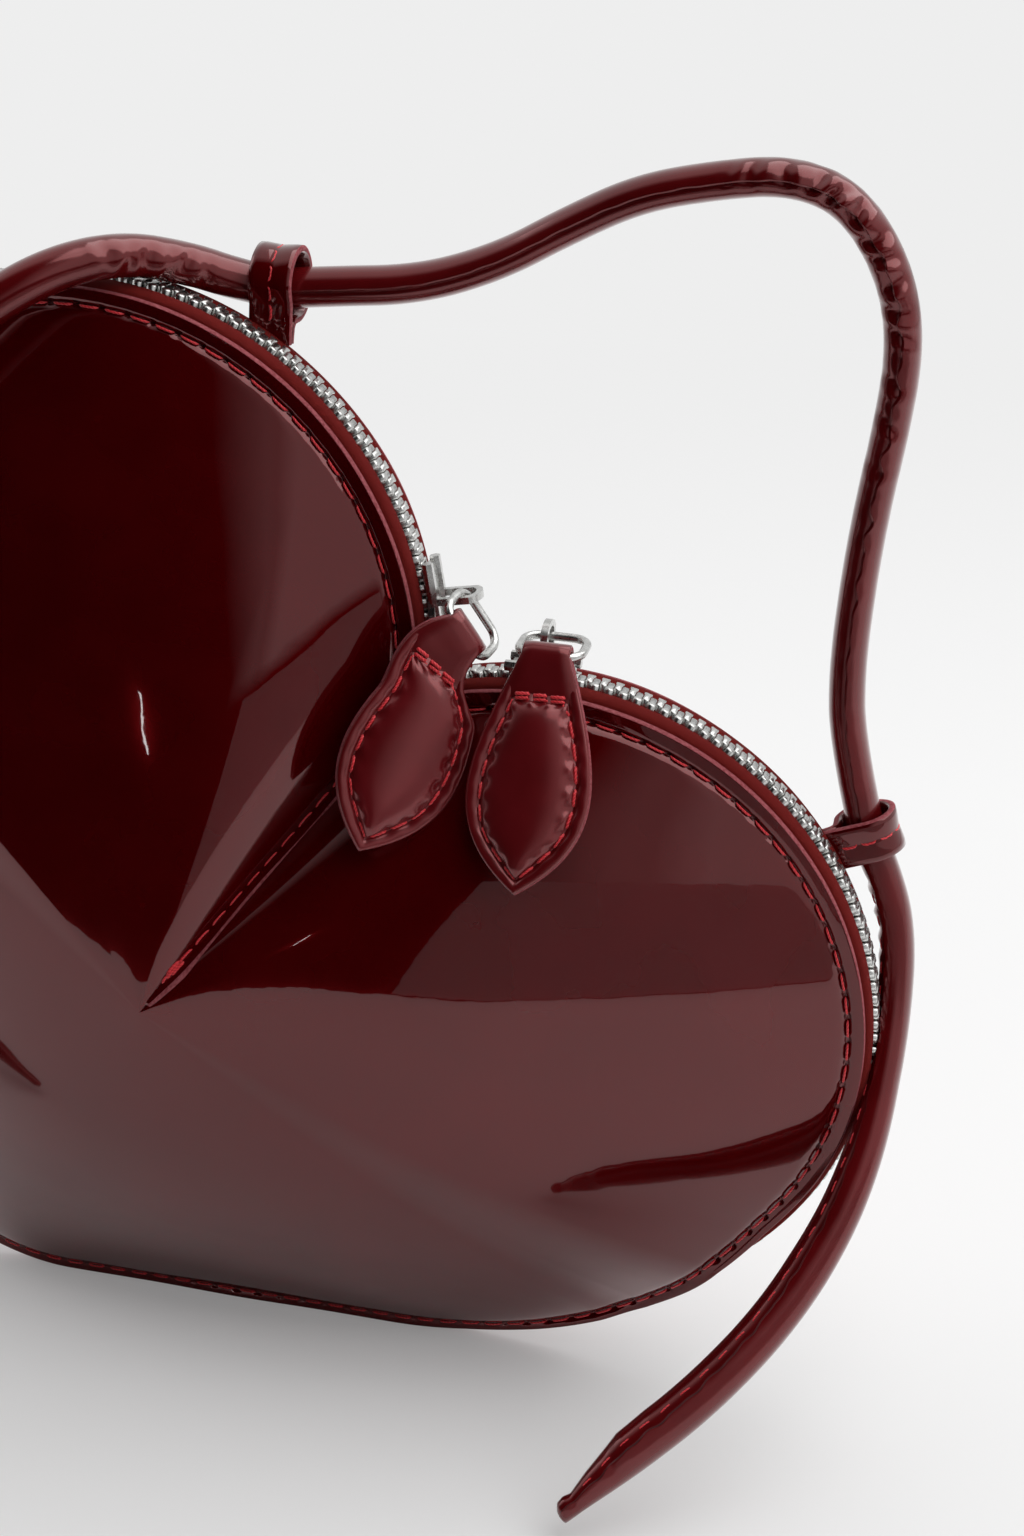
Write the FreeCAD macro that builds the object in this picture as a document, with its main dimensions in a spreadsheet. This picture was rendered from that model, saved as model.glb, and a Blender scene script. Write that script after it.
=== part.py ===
import math
import os

import FreeCAD
import Part
from FreeCAD import Placement, Rotation, Vector

# Heart shaped purse. Work frame: X across the heart, Z along its axis, front faces -Y, lobe centres at Z 0.
# The stand placement then turns the heart onto its straight right side, with the floor at Z 0.

sizes = {
    # heart outline, along the middle of the zip
    "lobe_radius": 61.0,
    "spacing_share": 0.836066,   # lobe centre to the heart's axis, of the lobe radius
    "flank_radius": 91.0,
    "flank_start_angle": 5.0,    # lobe angle where the rounder lobe runs into the flatter flank
    "zip_end_angle": -8.0,
    "seam_start_angle": -24.0,   # lobe angle where front and back are sewn edge to edge
    "side_angle": 52.0,          # half angle of the heart's point
    "tip_radius": 40.0,
    "crease_angle": 104.0,       # lobe angle where the valley beside the dart ends
    # rim
    "rim_lip": 1.2,              # raw flange edge above the zip's middle line
    "flange_width": 5.0,         # raw edge to stitch line
    "rim_half_width": 5.5,       # heart plane to the flange, along the zip
    "seam_half_gap": 0.05,       # the same along the sewn lower sides
    # panels and lining
    "leather": 1.5,
    "dome_height": 32.0,
    "apex_drop": 33.0,           # dart end below the lobe centres
    "apex_flat_share": 0.05,
    "fin_height": 2.4,
    "fin_width": 2.6,
    "lining": 0.7,
    "lining_gap": 0.4,
    # zip chain
    "tape": 0.7,
    "tape_hem": 4.0,
    "tooth_pitch": 2.5,
    "tooth_length": 2.4,
    "tooth_root_width": 1.5,
    "tooth_head_width": 1.05,
    "tooth_height": 2.0,
    "divider_lane": 0.9,
    "stop_length": 2.2,
    "fit_gap": 0.05,
    "run_gap": 0.3,
    # sliders
    "left_slider_back": 15.68,   # slider at rest, along the zip from the notch
    "right_slider_back": 20.47,
    "slider_length": 10.6,
    "slider_tail_width": 5.6,
    "slider_width": 7.4,
    "slider_plate": 1.1,
    "divider": 0.5,
    "divider_length": 2.2,
    "rail_radius": 0.95,
    "rail_length": 12.2,
    "bridge_width": 6.4,
    "bridge_length": 1.2,
    "bridge_wall": 1.1,
    "bridge_height": 7.2,
    # pulls
    "ring_wire": 1.5,
    "ring_length": 14.5,
    "ring_depth": 8.4,
    "ring_corner": 2.8,
    "ring_height": 5.0,          # ring bar above the slider plate
    "left_ring_tilt": 25.0,      # bar turned out of the zip's line as it hangs
    "left_ring_droop": 9.0,
    "left_ring_slip": 2.4,       # ring slid along its bar
    "right_ring_tilt": 0.0,
    "right_ring_droop": 2.0,
    "right_ring_slip": -2.5,
    "left_leaf_hang": 50.0,      # leaf turned down from the ring
    "left_leaf_skew": 25.0,
    "right_leaf_hang": 60.0,
    "right_leaf_skew": 0.0,
    "leaf_leather": 1.2,
    "leaf_length": 41.5,
    "leaf_width": 20.5,
    "leaf_neck": 9.0,
    "leaf_puff": 1.8,
    "padding_gap": 0.15,
    # strap and its loops
    "strap_diameter": 8.0,
    "strap_slack": 0.5,
    "loop_width": 8.0,
    "loop_leather": 1.2,
    "loop_rise": 1.6,            # loop held above the back flange
    "left_loop_angle": 83.0,
    "right_loop_angle": 73.0,
    "left_loop_twist": 27.0,
    "right_loop_twist": 17.0,
    "cut_overrun": 5.0,
}

doc = FreeCAD.newDocument("heart_purse")
sheet = doc.addObject("Spreadsheet::Sheet", "sizes")
for row, (alias, value) in enumerate(sizes.items(), start=1):
    sheet.set(f"A{row}", alias)
    sheet.set(f"B{row}", str(value))
    sheet.setAlias(f"B{row}", alias)
doc.recompute()


def size(alias):
    return float(sheet.get(alias))


lobeR = size("lobe_radius")
lobeX = lobeR * size("spacing_share")
flankR = size("flank_radius")
sideAngle = math.radians(size("side_angle"))
flankAngle = math.radians(size("flank_start_angle"))
leather = size("leather")
runGap = size("run_gap")
fitGap = size("fit_gap")
across = Vector(0, 1, 0)

# stand: straight right side on the floor, its middle at the origin
sideNormal = Vector(math.cos(sideAngle), 0, -math.sin(sideAngle))
flankCentre = Vector(lobeX, 0, 0) + Vector(math.cos(flankAngle), 0, math.sin(flankAngle)) * (lobeR - flankR)
sideTop = flankCentre + sideNormal * flankR
tipCentre = Vector(0, 0, (sideNormal.dot(sideTop) - size("tip_radius")) / sideNormal.z)
sideFoot = tipCentre + sideNormal * size("tip_radius")
turn = Rotation(across, 90 - size("side_angle"))
restMiddle = turn.multVec((sideTop + sideFoot) / 2 + sideNormal * size("rim_lip"))
stand = Placement(restMiddle.negative(), turn)


# heart sections
def polar(centre, radius, degrees):
    angle = math.radians(degrees)
    return centre + Vector(math.cos(angle), 0, math.sin(angle)) * radius


def half_outline(grow):
    """Right half from the notch to the tip, as (name, point) pairs, grown outwards from the zip's middle line."""
    lobe = Vector(lobeX, 0, 0)
    notch = math.degrees(math.acos(-lobeX / (lobeR + grow)))
    crease, flank, zipEnd = size("crease_angle"), size("flank_start_angle"), size("zip_end_angle")
    seam, side = size("seam_start_angle"), -size("side_angle")
    outline = [("notch", polar(lobe, lobeR + grow, notch))]
    outline.append(("notch", polar(lobe, lobeR + grow, (notch + crease) / 2)))
    for angle in (crease, (crease + flank) / 2, flank):
        outline.append(("lobe", polar(lobe, lobeR + grow, angle)))
    for angle in ((flank + zipEnd) / 2, zipEnd):
        outline.append(("lobe", polar(flankCentre, flankR + grow, angle)))
    outline.append(("blend", polar(flankCentre, flankR + grow, (zipEnd + seam) / 2)))
    for angle in (seam, (seam + side) / 2, side):
        outline.append(("side", polar(flankCentre, flankR + grow, angle)))
    outline.append(("side", polar(tipCentre, size("tip_radius") + grow, side)))
    outline.append(("side", polar(tipCentre, size("tip_radius") + grow, -90)))
    return outline


def section(grow, share, depths):
    """Edges of one heart section, scaled about the dart's end; depths gives notch, lobe and side distance forward."""
    apex = Vector(0, 0, -size("apex_drop"))
    notchDepth, lobeDepth, sideDepth = depths
    table = {"notch": notchDepth, "lobe": lobeDepth, "blend": (lobeDepth + sideDepth) / 2, "side": sideDepth}
    right = []
    for step, (name, point) in enumerate(half_outline(grow)):
        depth = (notchDepth + lobeDepth) / 2 if step == 1 else table[name]
        right.append(apex + (point - apex) * share - across * depth)
    left = [Vector(-p.x, p.y, p.z) for p in right]
    edges = []
    for start in (0, 2, 4, 6, 8):
        edges.append(Part.Arc(*right[start:start + 3]).toShape())
    edges.append(Part.LineSegment(right[10], right[11]).toShape())
    edges.append(Part.Arc(right[11], right[12], left[11]).toShape())
    edges.append(Part.LineSegment(left[11], left[10]).toShape())
    for start in (10, 8, 6, 4, 2):
        edges.append(Part.Arc(left[start], left[start - 1], left[start - 2]).toShape())
    return edges


def between(a, b):
    """Face from an edge to its fellow in the next section; straight edges run parallel, so theirs is a plane."""
    if not isinstance(a.Curve, Part.Line):
        return Part.makeRuledSurface(a, b)
    corners = [a.Vertexes[0], a.Vertexes[1], b.Vertexes[1], b.Vertexes[0], a.Vertexes[0]]
    return Part.Face(Part.makePolygon([v.Point for v in corners]))


def skin(sections):
    """Solid between the first and the last section, both flat, with ruled faces from each section to the next."""
    faces = [Part.Face(Part.Wire(sections[0])), Part.Face(Part.Wire(sections[-1]))]
    for one, other in zip(sections, sections[1:]):
        faces += [between(a, b) for a, b in zip(one, other)]
    shell = Part.makeShell(faces)
    shell.sewShape()
    solid = Part.makeSolid(shell)
    if solid.Volume < 0:
        solid.reverse()
    return solid


slopeShare = 0.25     # of the dome's fall that is an even slope, the rest steepens towards the rim
steepening = 3
creaseBend = 1.15     # the valley beside the dart falls almost evenly


def swell(share):
    return 1 - slopeShare * share - (1 - slopeShare) * share ** steepening


def depths(share, below):
    """Notch, lobe and side distance of the leather's outer face from the heart plane, less the depth below it."""
    top = size("dome_height")
    rims = (size("rim_half_width"), size("rim_half_width"), size("seam_half_gap"))
    rises = (1 - share ** creaseBend, swell(share), swell(share))
    return [rim + leather + (top - rim - leather) * rise - below for rim, rise in zip(rims, rises)]


outerShares = (0.95, 0.85, 0.6, 0.3)
innerShares = (0.85, 0.45)
finShares = (1, 0.7, 0.4, 0.15)
finFadeShare = 0.4
stitchGrow = size("rim_lip") - size("flange_width")


def apex_section(below):
    top = size("dome_height") - below
    return section(stitchGrow, size("apex_flat_share"), (top, top, top))


def front_panel_shape():
    inner = stitchGrow - leather
    sections = [apex_section(0)]
    sections += [section(stitchGrow, share, depths(share, 0)) for share in reversed(outerShares)]
    sections.append(section(stitchGrow, 1, depths(1, 0)))
    sections.append(section(size("rim_lip"), 1, depths(1, 0)))
    sections.append(section(size("rim_lip"), 1, depths(1, leather)))
    sections.append(section(inner, 1, depths(1, leather)))
    sections += [section(inner, share, depths(share, leather)) for share in innerShares]
    sections.append(apex_section(leather))
    return skin(sections)


def fin_shape():
    """Dart seam allowance: a blade along the valley from the notch to the dart's end, fading at its end."""
    notchZ = half_outline(stitchGrow)[0][1].z
    apexZ = -size("apex_drop")
    low, high = [], []
    for share in finShares:
        z = apexZ + (notchZ - apexZ) * share
        depth = depths(share, 0)[0]
        rise = size("fin_height") * min(1, share / finFadeShare)
        low.append(Vector(-size("fin_width") / 2, -(depth - leather / 2), z))
        high.append(Vector(-size("fin_width") / 2, -(depth + rise), z))
    blade = Part.Face(Part.makePolygon(low + high[::-1] + low[:1]))
    return blade.extrude(Vector(size("fin_width"), 0, 0))


def front_lining_shape():
    below = leather + size("lining_gap")
    grow = stitchGrow - leather - size("lining_gap")
    share = innerShares[0]
    inset = grow - size("lining")
    sections = [apex_section(below), section(grow, share, depths(share, below))]
    sections += [section(inset, share, depths(share, below + size("lining"))), apex_section(below + size("lining"))]
    return skin(sections)


def add(label, shape, place=stand):
    feature = doc.addObject("Part::Feature", label)
    feature.Label = label
    feature.Shape = shape
    feature.Placement = place
    return feature


def mirrored(label, source):
    """The same piece on the back, across the heart plane."""
    feature = doc.addObject("Part::Mirroring", label)
    feature.Label = label
    feature.Source = source
    feature.Normal = across
    return feature


pieces = []


def piece(feature):
    pieces.append(feature)
    return feature


frontPanel = piece(add("front_panel", front_panel_shape().fuse(fin_shape()).removeSplitter()))
piece(mirrored("back_panel", frontPanel))
frontLining = piece(add("front_lining", front_lining_shape()))
piece(mirrored("back_lining", frontLining))


# zip tape, teeth and end stops
toothHalf = size("tooth_height") / 2
chainHalf = size("divider_lane") / 2 + size("tooth_length")
endAngle = size("zip_end_angle")
notchAngle = math.degrees(math.acos(-lobeX / lobeR))


def both_lobes(right):
    return right.fuse(right.mirror(Vector(), Vector(1, 0, 0))).removeSplitter()


def tape_shape():
    """L section swept round each lobe: web beside the teeth, hem sewn behind the flange, mitred at the notch."""
    half = size("tape") / 2
    outer = size("rim_half_width") - fitGap
    inner = outer - size("tape")
    root = chainHalf + fitGap
    corners = [(lobeR + half, root), (lobeR + half, outer), (lobeR - size("tape_hem"), outer),
               (lobeR - size("tape_hem"), inner), (lobeR - half, inner), (lobeR - half, root)]
    profile = [polar(Vector(lobeX, 0, 0), r, endAngle) - across * depth for r, depth in corners]
    face = Part.Face(Part.makePolygon(profile + profile[:1]))
    reach = notchAngle - endAngle + size("cut_overrun")
    swept = face.revolve(Vector(lobeX, 0, 0), across.negative(), reach)
    room = Part.makeBox(lobeX + flankR, size("dome_height"), 2 * flankR, Vector(0, -size("dome_height"), -flankR))
    return both_lobes(swept.common(room))


def tooth_shape():
    """One front tooth at lobe angle 0 of a lobe centred on the origin, its head towards the chain's middle."""
    head, root = size("divider_lane") / 2, chainHalf
    low = lobeR - toothHalf
    corners = [(size("tooth_root_width") / 2, root), (size("tooth_head_width") / 2, head)]
    plan = [Vector(low, -depth, half) for half, depth in corners]
    plan += [Vector(low, -depth, -half) for half, depth in reversed(corners)]
    face = Part.Face(Part.makePolygon(plan + plan[:1]))
    return face.extrude(Vector(size("tooth_height"), 0, 0))


pitchAngle = math.degrees(size("tooth_pitch") / lobeR)
teethAtStop = 2       # pitches kept free for the end stop
teethAtNotch = 2      # and at the notch, where the lobes meet
toothCount = int((notchAngle - endAngle) / pitchAngle - teethAtStop - teethAtNotch)


def tooth_row(shift):
    tooth = tooth_shape()
    row = []
    for index in range(toothCount):
        angle = endAngle + (index + teethAtStop + shift) * pitchAngle
        placed = tooth.copy()
        placed.Placement = Placement(Vector(lobeX, 0, 0), Rotation(across.negative(), angle))
        row += [placed, placed.mirror(Vector(), Vector(1, 0, 0))]
    return Part.makeCompound(row)


def stop_shape():
    stop = Part.makeBox(size("tooth_height"), 2 * chainHalf, size("stop_length"),
                        Vector(lobeR - toothHalf, -chainHalf, -size("stop_length") / 2))
    stop.Placement = Placement(Vector(lobeX, 0, 0), Rotation(across.negative(), endAngle + pitchAngle / 2))
    return Part.makeCompound([stop, stop.mirror(Vector(), Vector(1, 0, 0))])


frontTape = piece(add("front_zip_tape", tape_shape()))
piece(mirrored("back_zip_tape", frontTape))
piece(add("front_zip_teeth", tooth_row(0)))
backRow = add("back_row", tooth_row(0.5))
piece(mirrored("back_zip_teeth", backRow))
piece(add("zip_end_stops", stop_shape()))


# sliders: local frame at the lobe centre, Z outwards at the slider, X along the zip, front at -Y
plateFoot = lobeR + toothHalf + runGap
plateTop = plateFoot + size("slider_plate")
barHeight = plateTop + size("ring_height")
railFlat = size("rail_radius") * math.cos(math.pi / 6)
railHeight = plateFoot + railFlat
flatSideUp = Rotation(across, 90) * Rotation(Vector(0, 0, 1), 30)


def lobe_place(side, angle):
    return stand * Placement(Vector(side * lobeX, 0, 0), Rotation(across, side * (90 - angle)))


def slider_angle(word):
    return notchAngle - math.degrees(size(f"{word}_slider_back") / lobeR)


def bound(kind, label, **expressions):
    """A Part primitive whose sizes are bound to the sheet."""
    feature = doc.addObject(kind, label)
    for prop, formula in expressions.items():
        feature.setExpression(prop, formula)
    return feature


def boolean(kind, label, base, tool):
    feature = doc.addObject(kind, label)
    feature.Base = base
    feature.Tool = tool
    return feature


def curved_plate(name, outer, inner):
    """Plate bent to the zip's curve, between two radius formulas of the sheet."""
    shells = []
    for part, radius in (("outer", outer), ("inner", inner)):
        shell = bound("Part::Cylinder", f"{name}_{part}", Radius=radius,
                      Height="sizes.slider_width", Angle="2 * sizes.slider_length / sizes.lobe_radius * 180 / pi")
        width, spread = size("slider_width"), 2 * size("slider_length") / lobeR
        start = Rotation(across, -90 + math.degrees(spread) / 2)
        shell.Placement = Placement(across * (width / 2), start * Rotation(Vector(1, 0, 0), 90))
        shells.append(shell)
    return boolean("Part::Cut", f"{name}_bent", *shells)


noseShares = (0.5, 0.8)  # of the half length, where the shoulders begin and end


def slider_plan(name, nose):
    """Outline of the slider seen from outside: narrow tail, wide shoulders, blunt nose; nose is +1 or -1 along X."""
    half, tail, wide = size("slider_length") / 2, size("slider_tail_width") / 2, size("slider_width") / 2
    shoulder, cheek = [half * share for share in noseShares]
    corners = [(-half, tail), (0, tail), (shoulder, wide), (cheek, wide), (half, tail)]
    ring = [Vector(nose * x, y, 0) for x, y in corners] + [Vector(nose * x, -y, 0) for x, y in reversed(corners)]
    plan = doc.addObject("Part::Feature", f"{name}_plan")
    plan.Shape = Part.Face(Part.makePolygon(ring + ring[:1]))
    prism = doc.addObject("Part::Extrusion", f"{name}_prism")
    prism.Base = plan
    prism.DirMode = "Custom"
    prism.Dir = Vector(0, 0, 1)
    prism.setExpression("LengthFwd", "2 * sizes.lobe_radius")
    prism.Solid = True
    return prism


def slider(side, word):
    name = f"{word}_slider"
    nose = -side
    prism = slider_plan(name, nose)
    above = "sizes.lobe_radius + sizes.tooth_height / 2 + sizes.run_gap"
    below = "sizes.lobe_radius - sizes.tooth_height / 2 - sizes.run_gap"
    top = curved_plate(f"{name}_top", above + " + sizes.slider_plate", above)
    base = curved_plate(f"{name}_base", below, below + " - sizes.slider_plate")
    cut = [boolean("Part::Common", f"{plate.Name}_cut", plate, prism) for plate in (top, base)]
    post = bound("Part::Box", f"{name}_post", Length="sizes.divider_length", Width="sizes.divider",
                 Height="sizes.tooth_height + 2 * sizes.run_gap + sizes.slider_plate")
    postX = nose * size("slider_length") / 4 - size("divider_length") / 2
    post.Placement.Base = Vector(postX, -size("divider") / 2, lobeR - toothHalf - runGap - size("slider_plate") / 2)
    rails = []
    for hand in (1, -1):
        rail = bound("Part::Prism", f"{name}_rail{hand + 1}", Circumradius="sizes.rail_radius",
                     Height="sizes.rail_length")
        rail.Polygon = 6
        railY = hand * (size("slider_tail_width") / 2 - size("rail_radius") / 2)
        rail.Placement = Placement(Vector(-size("rail_length") / 2, railY, railHeight), flatSideUp)
        rails.append(rail)
    body = doc.addObject("Part::MultiFuse", name)
    body.Shapes = cut + [post] + rails
    body.Refine = True
    body.Label = name
    body.Placement = lobe_place(side, slider_angle(word))
    return body


def bridge(side, word):
    """Hoop across the slider that the pull ring hangs in."""
    half, wall, rise = size("bridge_width") / 2, size("bridge_wall"), size("bridge_height")
    foot = railHeight + railFlat

    def arch(inset, drop):
        reach, top = half - inset, foot + rise - inset
        a, b = Vector(0, -reach, foot - drop), Vector(0, reach, foot - drop)
        crown = Part.Arc(Vector(0, reach, top - reach / 2), Vector(0, 0, top), Vector(0, -reach, top - reach / 2))
        rim = crown.toShape()
        lines = [Part.LineSegment(rim.Vertexes[1].Point, a).toShape(), Part.LineSegment(a, b).toShape(),
                 Part.LineSegment(b, rim.Vertexes[0].Point).toShape()]
        return Part.Face(Part.Wire([rim] + lines)).extrude(Vector(size("bridge_length"), 0, 0))

    hoop = arch(0, 0).cut(arch(wall, size("cut_overrun")))
    hoop.translate(Vector(-size("bridge_length") / 2, 0, 0))
    return add(f"{word}_slider_bridge", hoop, lobe_place(side, slider_angle(word)))


# pulls: ring frame at its rear bar, X along the bar, front at -Y; leaf frame the same at the front bar
wireHalf = size("ring_wire") / 2
wireSides = range(8)
foldBore = wireHalf + runGap
foldOuter = foldBore + size("leaf_leather")


def ring_place(side, word):
    hung = Placement(Vector(0, 0, barHeight), Rotation(across, side * size(f"{word}_ring_tilt")))
    slid = Placement(Vector(-side * size(f"{word}_ring_slip"), 0, 0), Rotation())
    drooped = Placement(Vector(), Rotation(Vector(1, 0, 0), size(f"{word}_ring_droop")))
    return lobe_place(side, slider_angle(word)) * hung * slid * drooped


def leaf_place(side, word):
    front = Placement(Vector(0, -size("ring_depth"), 0), Rotation(Vector(1, 0, 0), size(f"{word}_leaf_hang")))
    return ring_place(side, word) * front


def ring_shape():
    """Oval of round wire: straight bars front and rear, quarter turns at the corners."""
    reach, depth, corner = size("ring_length") / 2, size("ring_depth"), size("ring_corner")
    flat = reach - corner
    bend = corner * (1 - math.sqrt(0.5))

    def run(x0, y0, x1, y1):
        return Part.LineSegment(Vector(x0, y0, 0), Vector(x1, y1, 0)).toShape()

    def elbow(x0, y0, xm, ym, x1, y1):
        return Part.Arc(Vector(x0, y0, 0), Vector(xm, ym, 0), Vector(x1, y1, 0)).toShape()

    path = Part.Wire([
        run(-flat, 0, flat, 0),
        elbow(flat, 0, reach - bend, -bend, reach, -corner),
        run(reach, -corner, reach, corner - depth),
        elbow(reach, corner - depth, reach - bend, bend - depth, flat, -depth),
        run(flat, -depth, -flat, -depth),
        elbow(-flat, -depth, bend - reach, bend - depth, -reach, corner - depth),
        run(-reach, corner - depth, -reach, -corner),
        elbow(-reach, -corner, bend - reach, -bend, -flat, 0)])
    corners = [Rotation(Vector(1, 0, 0), (step + 0.5) * 360 / len(wireSides)).multVec(Vector(-flat, 0, wireHalf))
               for step in wireSides]
    return path.makePipeShell([Part.makePolygon(corners + corners[:1])], True, False)


leafShares = ((0.29, 0.79), (0.55, 1.0), (0.83, 0.7))  # along the leaf, of its half width
puffShares = (0.78, 0.34)
padShares = (0.62, 0.24)


def leaf_outline(share, height):
    """Leaf wire, scaled about its widest place, at a height over its middle."""
    long, wide = size("leaf_length"), size("leaf_width") / 2
    middle = Vector(0, -leafShares[1][0] * long, 0)
    points = [Vector(size("leaf_neck") / 2, 0, 0)]
    points += [Vector(half * wide, -along * long, 0) for along, half in leafShares]
    points.append(Vector(0, -long, 0))
    right = [middle + (p - middle) * share + Vector(0, 0, height) for p in points]
    left = [Vector(-p.x, p.y, p.z) for p in right]
    edges = [Part.Arc(*right[:3]).toShape(), Part.Arc(*right[2:]).toShape()]
    edges += [Part.Arc(left[4], left[3], left[2]).toShape(), Part.Arc(left[2], left[1], left[0]).toShape()]
    edges.append(Part.LineSegment(left[0], right[0]).toShape())
    return Part.Wire(edges)


def pad_shape(gap):
    """Padding, or with a gap the room left for it, on the same sloping sides."""
    low, high = -size("leaf_leather") / 2, size("leaf_puff")
    slope = (padShares[0] - padShares[1]) / (high - low)
    wider = 2 * gap / size("leaf_width")
    wires = [leaf_outline(padShares[0] + slope * gap + wider, low - gap),
             leaf_outline(padShares[1] - slope * gap + wider, high + gap)]
    return Part.makeLoft(wires, True, True)


def leaf_shape():
    """Two layers sewn round a pad, with the fold that turns on the ring's front bar."""
    layer = size("leaf_leather")
    plate = Part.Face(leaf_outline(1, -layer)).extrude(Vector(0, 0, 2 * layer))
    puff = Part.makeLoft([leaf_outline(puffShares[0], layer / 2),
                          leaf_outline(puffShares[1], layer + size("leaf_puff"))], True, True)
    along = Vector(1, 0, 0)
    start = Vector(-size("leaf_neck") / 2, 0, 0)
    fold = Part.makeCylinder(foldOuter, size("leaf_neck"), start, along)
    bore = Part.makeCylinder(foldBore, size("leaf_width"), Vector(-size("leaf_width") / 2, 0, 0), along)
    return plate.fuse([puff]), fold, bore


def pull(side, word):
    skew = Placement(Vector(), Rotation(Vector(0, 0, 1), -side * size(f"{word}_leaf_skew")))
    body, fold, bore = leaf_shape()
    body = body.cut(pad_shape(size("padding_gap")))
    body.Placement = skew
    wide = size("leaf_width")
    behind = Part.makeBox(2 * wide, wide, 2 * wide, Vector(-wide, -foldBore - runGap, -wide))
    leaf = body.cut(behind).fuse(fold).cut(bore).removeSplitter()
    piece(add(f"{word}_pull_ring", ring_shape(), ring_place(side, word)))
    piece(add(f"{word}_pull_leaf", leaf, leaf_place(side, word)))
    piece(add(f"{word}_pull_padding", pad_shape(0), leaf_place(side, word) * skew))


# strap loops, in the lobe's frame at their own angle
strapHalf = size("strap_diameter") / 2
strapSides = range(12)
loopBore = strapHalf + size("strap_slack")
loopOuter = loopBore + size("loop_leather")
stemBack = size("rim_half_width") - fitGap
stemFront = stemBack - size("loop_leather")
loopBack = stemFront + loopOuter
flangeOut = loopBack - size("rim_half_width") - leather
loopHeight = lobeR + size("rim_lip") + size("loop_rise") + math.sqrt(loopOuter ** 2 - flangeOut ** 2)


def strap_loop(side, word):
    """Band sewn in behind the back tape, up over the flange and round the strap."""
    half = size("loop_width") / 2
    foot = lobeR + size("tape") / 2 + fitGap
    stem = Part.makeBox(2 * half, size("loop_leather"), loopHeight - foot, Vector(-half, stemFront, foot))
    tilt = Rotation(across, side * size(f"{word}_loop_twist"))
    along = tilt.multVec(Vector(1, 0, 0))
    middle = Vector(0, loopBack, loopHeight)
    outer = Part.makeCylinder(loopOuter, 2 * half, middle - along * half, along)
    over = half + size("cut_overrun")
    bore = Part.makeCylinder(loopBore, 2 * over, middle - along * over, along)
    place = lobe_place(side, size(f"{word}_loop_angle"))
    piece(add(f"{word}_strap_loop", stem.fuse(outer).cut(bore).removeSplitter(), place))
    print(word, "loop centre", place.multVec(middle), "strap direction", place.Rotation.multVec(along))


# strap: straight runs joined by tangent arcs, points in the standing frame
strapRoute = [(-68, -58, 4.2), (-85.5, -54.5, 19), (-94.5, -50.5, 44), (-96.5, -47, 72), (-92.5, -43, 101),
              (-84, -38, 129), (-72, -32.5, 154), (-58, -27.5, 174.5), (-45, -23, 189), (-34, -17.5, 199),
              (-22, -8, 206), (-7, 8.2, 204.2), (13.4, 10.4, 195.9), (36, 10.2, 201.8), (54, 10, 210),
              (70, 10.2, 217.3), (85, 10.6, 222), (99.8, 10.9, 219.2), (111.5, 11, 209.8), (117.3, 11, 196),
              (117.3, 11, 179), (112.5, 11, 159.5), (109.3, 10.4, 139), (114.4, 10, 115.4),
              (121.6, 9.6, 96.8), (126.8, 4, 76), (124.5, -8, 55), (112, -23, 34), (94.5, -37.5, 16),
              (76, -50, 4.2)]


trimShare = 0.45  # of the shorter run, given to the arc at each end


def cord(label, route):
    points = [Vector(*p) for p in route]
    runs = [(b - a).Length for a, b in zip(points, points[1:])]
    edges, at, radii = [], points[0], []
    for before, here, after, one, two in zip(points, points[1:], points[2:], runs, runs[1:]):
        into, out = (here - before).normalize(), (after - here).normalize()
        trim = trimShare * min(one, two)
        enter, leave = here - into * trim, here + out * trim
        half = into.getAngle(out) / 2
        radius = trim / math.tan(half)
        inward = (out - into).normalize()
        middle = here + inward * (radius / math.cos(half) - radius)
        edges += [Part.LineSegment(at, enter).toShape(), Part.Arc(enter, middle, leave).toShape()]
        radii.append(radius)
        at = leave
    edges.append(Part.LineSegment(at, points[-1]).toShape())
    path = Part.Wire(edges)
    away = (points[1] - points[0]).normalize()
    spoke = away.cross(across).normalize() * strapHalf
    corners = [points[0] + Rotation(away, step * 360 / len(strapSides)).multVec(spoke) for step in strapSides]
    section = Part.makePolygon(corners + corners[:1])
    tube = path.makePipeShell([section], True, False)
    ideal = Part.Face(section).Area * path.Length
    print(label, "length", round(path.Length, 1), "least radius", round(min(radii), 1),
          "volume share", round(tube.Volume / ideal, 4))
    return piece(add(label, tube, Placement()))


for side, word in ((-1, "left"), (1, "right")):
    piece(slider(side, word))
    piece(bridge(side, word))
    pull(side, word)
    strap_loop(side, word)
cord("strap", strapRoute)

doc.recompute()
for feature in doc.Objects:
    bad = [s for s in feature.State if s in ("Invalid", "Error")]
    if bad:
        raise RuntimeError(f"{feature.Label} is {bad}")
os.makedirs("parts", exist_ok=True)
for feature in pieces:
    shape = feature.Shape
    if shape.isNull() or not shape.isValid():
        raise RuntimeError(f"{feature.Label} has no valid shape")
    print(feature.Label, round(shape.Volume, 1), len(shape.Solids))
    shape.exportStep(f"parts/{feature.Label}.step")
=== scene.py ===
import math
import random

import bpy
import numpy as np
from mathutils import Matrix, Vector


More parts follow.
